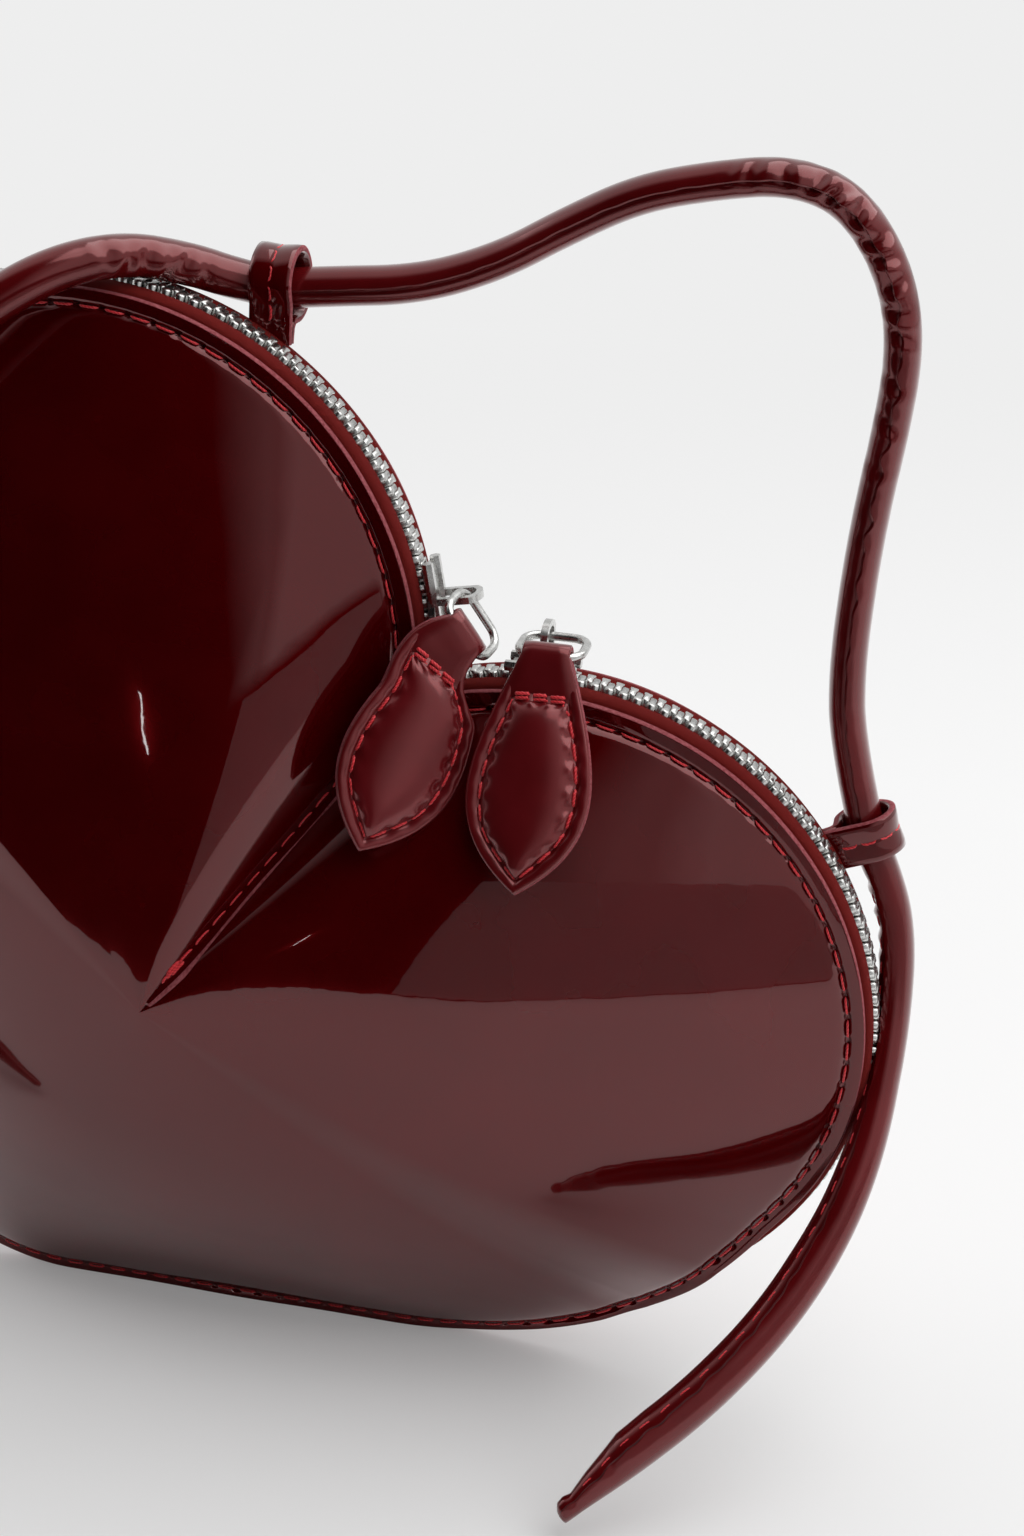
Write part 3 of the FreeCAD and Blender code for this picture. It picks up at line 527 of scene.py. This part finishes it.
def panelRows():
    reach = np.linalg.norm(sewLine - apex, axis=1)
    width = np.linalg.norm(edgeLine - sewLine, axis=1)
    rows = [np.column_stack([np.tile(apex, (len(sewLine), 1)), np.full(len(sewLine), heart["dome"])])]
    for share in panel["shares"]:
        ab = sheetLine(share)
        depth = domeDepth(share, rimDepth, rimLift) - stitchPress((1 - share) * reach)
        soft = share * (1 - share) * 4
        depth += panel["sag"] * soft * np.sin(ab[:, 0] / 19 + 0.7) * np.cos(ab[:, 1] / 23 - 0.4)
        rows.append(np.column_stack([ab, depth]))
    flutter = 0.16 * np.sin(fullAlong / 13) + 0.1 * np.sin(fullAlong / 5.3 + 1)
    for share in panel["flange"]:
        ab = sewLine + (edgeLine - sewLine) * share
        depth = rimDepth + heart["leather"] - stitchPress(share * width) + flutter * share
        rows.append(np.column_stack([ab, depth]))
    for share, drop in panel["edge"] + panel["inside"]:
        ab = sewLine + (edgeLine - sewLine) * share
        rows.append(np.column_stack([ab, rimDepth + heart["leather"] - drop + flutter * max(share, 0)]))
    return np.array(rows)


glossRows = len(panel["shares"]) + len(panel["flange"])
frontRows = panelRows()
faces = (("front", False), ("back", True))
for word, back in faces:
    store = newStore()
    addGrid(store, heartToWorld(frontRows, back), lambda r, c: shine if r < glossRows else raw, flip=back)
    makePiece(f"{word}_leather", store, [oxblood, cutEdge], "purse", "patent_leather", f"{word}_panel")
print("panels shaped")


# dart seam: the two layers stand up as a fin that leans to the right, raw edge outwards
dart = {"from": 0.985, "to": 0.03, "steps": 140, "fade": 0.14,
        "profile": [(-2.5, -0.9), (-2.0, -0.05), (-1.5, 0.42), (-0.8, 0.95), (-0.1, 1.5), (0.35, 1.85),
                    (0.75, 2.0), (1.15, 1.95), (1.3, 1.7), (1.5, 1.45), (2.0, 1.1), (2.5, 0.6), (2.8, -0.9)],
        "rawFrom": 5, "rawTo": 8, "matteTo": 12, "pitch": 4.5, "stitchGap": 0.4, "sewnAt": (-0.55, 0.85),
        "lock": [(0.0, -0.3), (0.5, 0.15), (-0.4, 0.5)], "lockFrom": 8.5, "lockStitch": (3.6, 0.33, 0.5)}
notchB = sewHalf[0, 1]


def dartLine(share):
    rim = np.full_like(share, heart["rimHalf"])
    depth = domeDepth(share, rim, np.zeros_like(share))
    return apex[1] + (notchB - apex[1]) * share, depth


dartShare = np.linspace(dart["from"], dart["to"], dart["steps"])
dartB, dartDepth = dartLine(dartShare)
dartRise = np.clip((dartShare - dart["to"]) / dart["fade"], 0, 1) ** 0.55
profile = np.array(dart["profile"])
wander = 0.15 * np.sin(dartB / 4.1)
finHeight = np.where(profile[:, 1] > 0, profile[:, 1] * dartRise[:, None], profile[:, 1])
finRows = np.stack([
    profile[:, 0] * (0.45 + 0.55 * dartRise[:, None]) + (0.5 * dartRise + wander)[:, None],
    np.repeat(dartB[:, None], len(profile), 1),
    dartDepth[:, None] + finHeight,
], -1)


def dartFinish(row, column):
    # past the raw top, the fin's right face takes the near black flesh side: partly painted shade where the
    # fin leans over the panel
    if dart["rawFrom"] <= column < dart["rawTo"]:
        return raw
    return matte if dart["rawTo"] <= column < dart["matteTo"] else shine


for word, back in faces:
    store = newStore()
    addGrid(store, heartToWorld(finRows, back), dartFinish, loop=False, flip=not back)
    makePiece(f"{word}_dart_seam", store, [oxblood, cutEdge, fleshSideAndShade], "purse", "patent_leather")


def rimStitches(back):
    store = newStore()
    pitch, gap = panel["pitch"], panel["stitchGap"]
    for hand in (1, -1):
        line = np.column_stack([sewHalf * (hand, 1), halfDepth + heart["leather"]])
        for k in range(int(halfAlong[-1] / pitch)):
            if (k + 1) * pitch < panel["clear"]:
                continue
            one, two = [pointAt(line, halfAlong, d) for d in (k * pitch + gap, (k + 1) * pitch - gap)]
            middle = (one + two) / 2 + np.array([0, 0, dice.uniform(-panel["jitter"], panel["jitter"])])
            angle = np.interp((k + 0.5) * pitch, halfAlong, rimAngle)
            addStitch(store, middle, two - one, zAxis, np.linalg.norm(two - one),
                      np.interp(angle, panel["pressAngles"], panel["threads"]))
    store["verts"] = [heartToWorld(v, back) for v in store["verts"]]
    return store


for word, back in faces:
    makePiece(f"{word}_rim_stitches", rimStitches(back), [redThread], "purse", "patent_leather")


def dartStitches(back):
    store = newStore()
    pitch, gap = dart["pitch"], dart["stitchGap"]
    aside, above = dart["sewnAt"]
    length = lengthAlong(np.column_stack([dartB, dartDepth]))
    line = np.column_stack([np.full(len(dartB), aside), dartB, dartDepth + above])
    up = np.array([-0.6, 0.0, 0.8])
    for k in range(1, int(length[-1] / pitch) - 1):
        one, two = [pointAt(line, length, d) for d in (k * pitch + gap, (k + 1) * pitch - gap)]
        addStitch(store, (one + two) / 2, two - one, up, np.linalg.norm(two - one), arch=0.45)
    for slip, side in dart["lock"]:  # back stitch that ends the seam
        at = int(np.interp(length[-1] - dart["lockFrom"] + slip, length, np.arange(len(line))))
        middle = line[at] + np.array([side, 0, 0.1])
        addStitch(store, middle, line[at + 1] - line[at], up, *dart["lockStitch"])
    store["verts"] = [heartToWorld(v, back) for v in store["verts"]]
    return store


for word, back in faces:
    makePiece(f"{word}_dart_stitches", dartStitches(back), [redThread], "purse", "patent_leather")
print("seams sewn")


# lining: cloth bag inside, seen only if the panels are taken off
lining = {"below": 2.2, "shares": [0.02, 0.1, 0.2, 0.3, 0.4, 0.5, 0.6, 0.7, 0.78, 0.84], "step": 6}
for word, back in faces:
    rows = []
    for share in lining["shares"]:
        depth = domeDepth(share, rimDepth, rimLift) - lining["below"]
        rows.append(np.column_stack([sheetLine(share), depth])[::lining["step"]])
    rows = np.array(rows)
    store = newStore()
    addGrid(store, heartToWorld(rows, back), flip=back, uv=rows[..., :2])
    makePiece(f"{word}_lining_cloth", store, [liningWeave], "purse", "lining_cloth", f"{word}_lining")


# zip: woven tapes beside the chain, toothed from the notch down to the end stop on each lobe
zipper = {
    "tapeRows": [(0.5, -0.5), (1.6, -0.15), (2.7, 0.3), (3.4, 0.42), (4.2, 0.3), (4.9, 0.1), (5.4, -0.4),
                 (5.45, -4.0)],
    "tapeSteps": 260, "shyOfNotch": 0.2, "pastStop": 3, "pitch": 2.5, "atStop": 2, "atNotch": 1,
    "plan": [(0.72, 2.1), (0.72, 1.45), (0.55, 1.05), (0.58, 0.3), (0.58, -0.7), (0.42, -0.98)],
    "foot": -1.0, "shoulder": 0.8, "top": 1.0, "bevel": 0.84,
}


def zipTape(back):
    store = newStore()
    turn = np.radians(np.linspace(notchAngle - zipper["shyOfNotch"], heart["zipEnd"] - zipper["pastStop"],
                                  zipper["tapeSteps"]))
    for hand in (1, -1):
        rows, lay = [], []
        for w, rise in zipper["tapeRows"]:
            r = heart["lobeR"] + rise
            rows.append(np.column_stack([hand * (heart["lobeX"] + r * np.cos(turn)), r * np.sin(turn),
                                         np.full(len(turn), w)]))
            lay.append(np.column_stack([turn * heart["lobeR"], np.full(len(turn), w - rise)]))
        addGrid(store, heartToWorld(rows, back), loop=False, flip=(hand > 0) == back, uv=lay)
    return store


def zipTeeth(back):
    outline = np.array(zipper["plan"] + [(-x, w) for x, w in reversed(zipper["plan"])])
    tight = (outline - outline.mean(0)) * zipper["bevel"] + outline.mean(0)
    layers = [(zipper["foot"], outline), (zipper["shoulder"], outline), (zipper["top"], tight)]
    store = newStore()
    step = math.degrees(zipper["pitch"] / heart["lobeR"])
    count = int((notchAngle - heart["zipEnd"]) / step) - zipper["atStop"] - zipper["atNotch"]
    rows = []
    for rise, plan in layers:
        depth = plan[:, 1] if back else -plan[:, 1]
        rows.append(np.column_stack([plan[:, 0], depth, np.full(len(plan), heart["lobeR"] + rise)]))
    for hand in (1, -1):
        for k in range(count):
            angle = heart["zipEnd"] + (k + zipper["atStop"] + (0.5 if back else 0)) * step
            first = addGrid(store, toWorld(lobeFrame(hand, angle), rows), flip=back)
            addCap(store, first + 2 * len(outline), len(outline), flip=back)
    return store


for word, back in faces:
    makePiece(f"{word}_tape_weave", zipTape(back), [tapeWeave], "purse", "zip_tape", f"{word}_zip_tape")
for word, back in faces:
    makePiece(f"{word}_chain", zipTeeth(back), [nickel], "purse", "nickel", f"{word}_zip_teeth")


# hard pieces that keep their CAD form: nickel, edges softened as cast and tumbled
hardware = {
    "nodes": ["left_slider", "right_slider", "left_slider_bridge", "right_slider_bridge", "zip_end_stops"],
    "edge": 0.22, "segments": 2,
}
for node in hardware["nodes"]:
    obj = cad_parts[node]
    obj.data.materials.clear()
    obj.data.materials.append(nickel)
    soften = obj.modifiers.new("soft_edges", "BEVEL")
    soften.width = hardware["edge"] * mm
    soften.segments = hardware["segments"]
    soften.limit_method = "ANGLE"
print("zip closed")


# pulls: wire ring and padded leaf, placed by the same angles as their solids
pull = {
    "barHeight": heart["lobeR"] + 1.0 + 0.3 + 1.1 + 5.0,  # half a tooth, run gap, slider plate, bar above it
    "wire": 0.75, "wireSides": 16, "ringLength": 10.8, "ringDepth": 8.4, "ringCorner": 2.8,
    "left": {"side": -1, "angle": 132.0, "tilt": 25.0, "droop": 9.0, "slip": 4.6, "hang": 50.0, "skew": 30.0},
    "right": {"side": 1, "angle": 127.5, "tilt": 0.0, "droop": 2.0, "slip": -2.5, "hang": 60.0, "skew": 0.0},
}
leaf = {
    "length": 39.8, "width": 20.6, "spine": (-13.5, -30.0), "top": -7.6, "steps": 150,
    "shape": [(0, 0.4), (0.29, 0.8), (0.55, 1.0), (0.83, 0.7), (1.0, 0.0)],
    "border": [(0.0, 0.95), (0.12, 1.2), (0.45, 1.38), (1.0, 1.42), (1.6, 1.3), (2.0, 1.02), (2.2, 0.84),
               (2.4, 0.78)],
    "pillow": [0.03, 0.06, 0.1, 0.15, 0.21, 0.28, 0.36, 0.46, 0.57, 0.68, 0.8, 0.92, 1.0], "puff": 2.5,
    "edge": [(0.0, 0.95), (-0.05, 0.62), (0.3, 0.42), (-0.02, 0.22), (0.0, -0.1), (0.3, -0.3),
             (-0.05, -0.5), (0.0, -0.95)],
    "back": [(0.0, -0.95), (0.3, -1.3), (1.5, -1.35), (2.4, -1.0)], "belly": 0.6,
    "sewn": 2.4, "sewnHeight": 0.78, "pitch": 3.7, "pucker": 0.34, "layer": 1.2, "foldR": 1.65,
    "bendFrom": 1.0, "bendOver": 13, "stitchGap": 0.25, "thread": (0.3, 0.55),  # radius, arch
    "foldEnd": [(-7.9, -0.1), (-7.2, 0.4), (-6.2, 0.7), (-4.5, 0.95), (-2.8, 1.25), (-1.3, 1.55)],
    "neckRows": [(0.0, 1.05), (-0.7, 1.25)], "neckStitches": [(-4.4, -1.7), (-1.4, 1.2), (1.5, 4.3)],
    "neckRise": 0.2,
}
leafFit = np.polyfit([t for t, h in leaf["shape"]], [h for t, h in leaf["shape"]], 4)


def ringFrame(spec):
    side = spec["side"]
    return (lobeFrame(side, spec["angle"]) @ Matrix.Translation((0, 0, pull["barHeight"]))
            @ Matrix.Rotation(math.radians(side * spec["tilt"]), 4, "Y")
            @ Matrix.Translation((-side * spec["slip"], 0, 0))
            @ Matrix.Rotation(math.radians(spec["droop"]), 4, "X"))


def leafFrame(spec):
    return (ringFrame(spec) @ Matrix.Translation((0, -pull["ringDepth"], 0))
            @ Matrix.Rotation(math.radians(spec["hang"]), 4, "X"))


def ringPath():
    reach, deep, corner = pull["ringLength"] / 2, pull["ringDepth"], pull["ringCorner"]
    flat = reach - corner
    path = []
    for mx, my, start in ((flat, -corner, 90), (flat, corner - deep, 0), (-flat, corner - deep, -90),
                          (-flat, -corner, 180)):
        for angle in np.radians(np.linspace(start, start - 90, 10)):
            path.append((mx + corner * math.cos(angle), my + corner * math.sin(angle), 0))
    return np.array(path)


def ringRows(path, count):
    ahead = unitRows(np.roll(path, -1, 0) - np.roll(path, 1, 0))
    side = np.cross(ahead, zAxis)
    turn = np.linspace(0, 2 * math.pi, count, endpoint=False)
    return (path[:, None, :] + side[:, None, :] * (pull["wire"] * np.cos(turn))[None, :, None]
            + zAxis * (pull["wire"] * np.sin(turn))[None, :, None])


def leafOutline():
    t = np.linspace(0, 1, leaf["steps"]) ** 0.95
    half = np.polyval(leafFit, t) * leaf["width"] / 2
    half[-1] = 0
    right = np.column_stack([half, -t * leaf["length"]])
    left = right[-2::-1] * (-1, 1)
    neck = np.column_stack([np.linspace(left[-1, 0], right[0, 0], 25)[1:-1], np.zeros(23)])
    return np.vstack([right, left, neck])


leafRim = leafOutline()
spineTop, spineEnd = leaf["spine"]
spineSpot = np.column_stack([np.zeros(len(leafRim)), np.clip(leafRim[:, 1], spineEnd, spineTop)])


def leafInset(inset):  # the outline drawn in towards the spine
    inward = spineSpot - leafRim
    return leafRim + inward * (inset / np.linalg.norm(inward, axis=1))[:, None]


sewnRing = leafInset(leaf["sewn"])
sewnRing[:, 1] = np.minimum(sewnRing[:, 1], leaf["top"])  # straight seam under the fold
sewnRing = np.vstack([sewnRing, sewnRing[:1]])
sewnAlong = lengthAlong(sewnRing)
sewnCount = int(sewnAlong[-1] / leaf["pitch"])
sewnPitch = sewnAlong[-1] / sewnCount


def pillowSwell(spot):  # 0 on the stitch line, 1 in the middle
    side = sewnRing[:leaf["steps"]]
    half = np.interp(-spot[:, 1], -side[:, 1], side[:, 0])
    across = np.clip(1 - (spot[:, 0] / np.maximum(half, 0.01)) ** 2, 0, 1)
    tip = side[-1, 1]
    ends = np.clip(1 - np.abs(2 * (spot[:, 1] - tip) / (leaf["top"] - tip) - 1) ** 5, 0, 1)
    return across ** 0.6 * ends ** 0.6


def leafFace(part):  # rows from the edge in to the spine; the thread pulls small puckers beside its line
    beat = np.cos(2 * math.pi * sewnAlong[:-1] / sewnPitch + 0.9 * np.sin(sewnAlong[:-1] / 6.1))
    beat *= 0.7 + 0.3 * np.sin(sewnAlong[:-1] / 9.0)
    rows = []
    for inset, height in leaf["border" if part == "front" else "back"]:
        ripple = leaf["pucker"] * 0.5 * math.exp(-((inset - 1.7) / 0.5) ** 2) * beat
        rows.append(np.column_stack([leafInset(inset), height - ripple]))
    base, rise = (leaf["sewnHeight"], leaf["puff"]) if part == "front" else (-1.0, -leaf["belly"])
    for share in leaf["pillow"]:
        spot = sewnRing[:-1] + (spineSpot - sewnRing[:-1]) * share
        ripple = leaf["pucker"] * math.exp(-((share - 0.1) / 0.075) ** 2) * beat
        rows.append(np.column_stack([spot, base + rise * pillowSwell(spot) - ripple]))
    return np.array(rows)


def skewed(points, degrees):  # the leaf swings on its neck, the fold stays on the bar
    points = np.array(points, float)
    angle = np.radians(degrees) * smooth((-points[..., 1] - leaf["bendFrom"]) / leaf["bendOver"])
    x, y = points[..., 0].copy(), points[..., 1].copy()
    points[..., 0] = x * np.cos(angle) - y * np.sin(angle)
    points[..., 1] = x * np.sin(angle) + y * np.cos(angle)
    return points


def foldRows():  # thick band of leather round the bar, both ends run into the leaf
    turn = np.radians(np.linspace(90, -90, 13))
    bend = [(leaf["foldR"] * math.cos(a), leaf["foldR"] * math.sin(a)) for a in turn]
    path = np.array(leaf["foldEnd"] + bend + [(y, -z) for y, z in reversed(leaf["foldEnd"])])
    ahead = unitRows(np.gradient(path, axis=0))
    out = np.column_stack([-ahead[:, 1], ahead[:, 0]])
    half = np.polyval(leafFit, np.clip(-path[:, 0] / leaf["length"], 0, 1)) * leaf["width"] / 2 - 0.1
    thick = leaf["layer"] / 2
    across = [(-1, 0.5), (-0.95, 1), (-0.5, 1.05), (0, 1.08), (0.5, 1.05), (0.95, 1), (1, 0.5), (1, -0.5),
              (0.95, -1), (-0.95, -1), (-1, -0.5)]
    rows = []
    for p, o, h in zip(path, out, half):
        rows.append([(c * h, p[0] + o[0] * n * thick, p[1] + o[1] * n * thick) for c, n in across])
    return np.array(rows)


def leafStitches(spec):
    store = newStore()
    gap = leaf["stitchGap"]
    line = np.column_stack([sewnRing, np.full(len(sewnRing), leaf["sewnHeight"])])
    pairs = []
    for k in range(sewnCount):
        ends = (k * sewnPitch + gap, (k + 1) * sewnPitch - gap)
        pairs.append([pointAt(line, sewnAlong, d) for d in ends])
    for drop, height in leaf["neckRows"]:  # more rows of stitches across the neck
        y = leaf["top"] - drop
        for x0, x1 in leaf["neckStitches"]:
            pairs.append([(x0, y, height), (x1, y + leaf["neckRise"], height)])
    for pair in pairs:
        one, two = skewed(pair, spec["turn"])
        addStitch(store, (one + two) / 2, two - one, zAxis, np.linalg.norm(two - one), *leaf["thread"])
    return store


for word in ("left", "right"):
    spec = pull[word]
    spec["turn"] = -spec["side"] * spec["skew"]
    store = newStore()
    addGrid(store, toWorld(ringFrame(spec), ringRows(ringPath(), pull["wireSides"])), ring=True, flip=True)
    makePiece(f"{word}_wire_ring", store, [nickel], f"{word}_ring", "nickel", f"{word}_pull_ring")
    home = leafFrame(spec)
    store = newStore()
    brim = np.array([np.column_stack([leafInset(inset), np.full(len(leafRim), height)])
                     for inset, height in leaf["edge"]])
    for rows, finish in ((leafFace("front"), shine), (brim, raw), (leafFace("back"), shine)):
        addGrid(store, toWorld(home, skewed(rows, spec["turn"])), finish)
    folded = skewed(foldRows(), spec["turn"])
    addGrid(store, toWorld(home, folded), lambda r, c: raw if c in (6, 10) else shine)
    padLeaf = makePiece(f"{word}_leaf", store, [pullHide, cutEdge], f"{word}_leaf", "patent_leather",
                        f"{word}_pull_leaf", f"{word}_pull_padding")
    store = leafStitches(spec)
    store["verts"] = [toWorld(home, v) for v in store["verts"]]
    makePiece(f"{word}_leaf_stitches", store, [redThread], f"{word}_leaf", "patent_leather")
print("pulls hung")


# strap loops: a band from behind the back tape, round the strap and back down into the seam
loops = {
    "width": 7.4, "thick": 1.2, "middleY": 9.95,
    "start": [(4.7, 58.5), (4.8, 60.5), (4.95, 62.8), (5.1, 64.8)],
    "across": [(-1, 0.6), (-0.95, 1.15), (-0.7, 1.2), (-0.14, 0.85), (0, 0.6), (0.14, 0.85), (0.7, 1.2),
               (0.95, 1.15), (1, 0.6), (1, -0.5), (0.94, -1), (-0.94, -1), (-1, -0.5)],
    "cutAt": (0, 7, 8, 12), "seamAt": 4, "underAt": 11,  # columns of the band's section
    "pitch": 3.4, "stitchEnds": (0.3, 3.1), "stitch": (2.8, 0.24, 0.45),  # length, radius, arch
    "left": {"side": -1, "angle": 80.2, "twist": 27.0, "middleZ": 67.6, "radius": 5.7},
    "right": {"side": 1, "angle": 69.5, "twist": 12.0, "middleZ": 66.5, "radius": 4.75},
}


def loopPath(spec):
    y, z, r = loops["middleY"], spec["middleZ"], spec["radius"]
    turn = np.radians(np.linspace(178, -100, 38))
    ring = [(y + r * math.cos(a), z + r * math.sin(a)) for a in turn]
    finish = [(7.2, z - r + 0.1), (6.2, z - r - 0.8), (5.8, 59.6), (5.6, 58.5)]
    return np.array(loops["start"] + ring + finish)


def loopRows(spec):
    path = loopPath(spec)
    ahead = unitRows(np.gradient(path, axis=0))
    out = np.column_stack([-ahead[:, 1], ahead[:, 0]])
    half, thick = loops["width"] / 2, loops["thick"] / 2
    t = math.radians(spec["side"] * spec["twist"])
    z = spec["middleZ"]
    rows = []
    for p, o in zip(path, out):
        row = []
        for c, n in loops["across"]:
            x, up = c * half, p[1] + o[1] * n * thick - z
            row.append((x * math.cos(t) + up * math.sin(t), p[0] + o[0] * n * thick,
                        z - x * math.sin(t) + up * math.cos(t)))
        rows.append(row)
    return np.array(rows)


for word in ("left", "right"):
    spec = loops[word]
    home = lobeFrame(spec["side"], spec["angle"])
    rows = loopRows(spec)
    store = newStore()
    addGrid(store, toWorld(home, rows), lambda r, c: raw if c in loops["cutAt"] else shine)
    makePiece(f"{word}_loop_band", store, [oxblood, cutEdge], "purse", "patent_leather", f"{word}_strap_loop")
    store = newStore()
    line, pitch = rows[:, loops["seamAt"]], loops["pitch"]
    up = line - rows[:, loops["underAt"]]
    along = lengthAlong(line)
    for k in range(1, int(along[-1] / pitch)):
        one, two = [pointAt(line, along, k * pitch + d) for d in loops["stitchEnds"]]
        at = np.searchsorted(along, (k + 0.5) * pitch)
        addStitch(store, (one + two) / 2, two - one, up[at], *loops["stitch"])
    store["verts"] = [toWorld(home, v) for v in store["verts"]]
    makePiece(f"{word}_loop_stitches", store, [redThread], "purse", "patent_leather")
print("loops sewn")


# studio: white sweep, soft light from above, dark room in front, pale wall to the right, low grey card
studio = {
    "paper": "#f3f3f3", "distant": "#eeeeee", "glow": 0.22, "fadeFrom": 0.3, "fadeTo": 0.75,
    "floor": [[(-4.0, -0.225, 0), (4.0, -0.225, 0)], [(-4.0, 6.0, 0), (4.0, 6.0, 0)]],
    "flag": [[(0.035, -0.221, 0.003), (0.7, -0.221, 0.003)], [(0.08, -0.221, 0.128), (0.7, -0.221, 0.128)]],
    "flagGrey": "#a4a4a4",
    "lamps": [
        {"name": "top_softbox", "at": (0.65, 0.15, 1.2), "to": (0.15, 0.02, 0.1), "size": (1.6, 1.5),
         "power": 13.8},
        {"name": "left_softbox", "at": (-1.1, 0.1, 0.75), "to": (0.0, 0.0, 0.12), "size": (0.5, 0.8),
         "power": 1.4},
        {"name": "window_strip", "at": (-0.42, -1.6, 0.0), "to": (0.0, 0.0, 0.1), "size": (0.008, 0.14),
         "power": 0.045},
    ],
    "dark": "#0c0c0d", "wall": "#dcdcdc", "plain": "#ebebeb",
    "behind": {"From Min": -0.4, "From Max": -0.1},  # by a direction's Y
    "faint": {"From Min": 0.12, "From Max": 0.36, "To Max": 0.55},  # by its X, in two steps
    "bright": {"From Min": 0.42, "From Max": 0.52, "To Max": 0.45},
    "above": {"From Min": -0.04, "From Max": 0.02},  # by its Z
}
floorFinish, tree, shader = newFinish("white_paper_sweep", {
    "Base Color": linear(studio["paper"]), "Roughness": 0.9, "Specular IOR Level": 0.1})
place = addNode(tree, "ShaderNodeTexCoord").outputs["Object"]
away = addNode(tree, "ShaderNodeVectorMath", {"operation": "LENGTH"}, {0: place})
far = addNode(tree, "ShaderNodeMapRange", {
    "From Min": studio["fadeFrom"], "From Max": studio["fadeTo"], "To Min": studio["glow"], "To Max": 1.0},
    {"Value": away.outputs["Value"]})
rays = addNode(tree, "ShaderNodeLightPath")
seen = addNode(tree, "ShaderNodeMath", {"operation": "MULTIPLY"},
               {0: rays.outputs["Is Camera Ray"], 1: far.outputs["Result"]})
plain = addNode(tree, "ShaderNodeEmission", {"Color": linear(studio["distant"]), "Strength": 1.0})
both = addNode(tree, "ShaderNodeMixShader", links={
    0: seen.outputs["Value"], 1: shader.outputs["BSDF"], 2: plain.outputs["Emission"]})
tree.links.new(both.outputs["Shader"], tree.nodes["Material Output"].inputs["Surface"])
cardFinish = newFinish("grey_reflector_card", {
    "Base Color": linear(studio["flagGrey"]), "Roughness": 0.9, "Specular IOR Level": 0.1})[0]
sheets = (("paper_floor", studio["floor"], floorFinish), ("reflector_card", studio["flag"], cardFinish))
for name, rows, finish in sheets:
    store = newStore()
    addGrid(store, rows, loop=False)
    mesh = bpy.data.meshes.new(name)
    mesh.from_pydata(np.concatenate(store["verts"]).tolist(), [], store["faces"])
    mesh.materials.append(finish)
    sheet = bpy.data.objects.new(name, mesh)
    sheet.visible_camera = sheet.visible_shadow = name == "paper_floor"  # the card only shows in the gloss
    bpy.context.scene.collection.objects.link(sheet)

for lamp in studio["lamps"]:
    light = bpy.data.lights.new(lamp["name"], "AREA")
    light.shape = "RECTANGLE"
    light.size, light.size_y = lamp["size"]
    light.energy = lamp["power"]
    holder = bpy.data.objects.new(lamp["name"], light)
    aim = Vector(lamp["to"]) - Vector(lamp["at"])
    holder.matrix_world = Matrix.Translation(lamp["at"]) @ aim.to_track_quat("-Z", "Y").to_matrix().to_4x4()
    bpy.context.scene.collection.objects.link(holder)

world = bpy.data.worlds.new("studio")
bpy.context.scene.world = world
world.use_nodes = True
tree = world.node_tree
backdrop = tree.nodes["Background"]
toward = addNode(tree, "ShaderNodeTexCoord").outputs["Generated"]
axes = addNode(tree, "ShaderNodeSeparateXYZ", links={"Vector": toward})
behind = addNode(tree, "ShaderNodeMapRange", studio["behind"], {"Value": axes.outputs["Y"]})
faint = addNode(tree, "ShaderNodeMapRange", studio["faint"], {"Value": axes.outputs["X"]})
bright = addNode(tree, "ShaderNodeMapRange", studio["bright"], {"Value": axes.outputs["X"]})
beside = addNode(tree, "ShaderNodeMath", {"operation": "ADD"},
                 {0: faint.outputs["Result"], 1: bright.outputs["Result"]})
above = addNode(tree, "ShaderNodeMapRange", studio["above"], {"Value": axes.outputs["Z"]})
aside = addNode(tree, "ShaderNodeMath", {"operation": "MULTIPLY"},
                {0: beside.outputs["Value"], 1: above.outputs["Result"]})
lit = addNode(tree, "ShaderNodeMath", {"operation": "MAXIMUM"},
              {0: behind.outputs["Result"], 1: aside.outputs["Value"]})
room = twoTone(tree, lit.outputs["Value"], studio["dark"], studio["wall"], 0.0, 1.0)
rays = addNode(tree, "ShaderNodeLightPath")
wall = addNode(tree, "ShaderNodeMixRGB", {"Color2": linear(studio["plain"])},
               {"Fac": rays.outputs["Is Camera Ray"], "Color1": room})
tree.links.new(wall.outputs["Color"], backdrop.inputs["Color"])
backdrop.inputs["Strength"].default_value = 1.0
bpy.context.scene.view_settings.view_transform = "Standard"
print("studio lit")
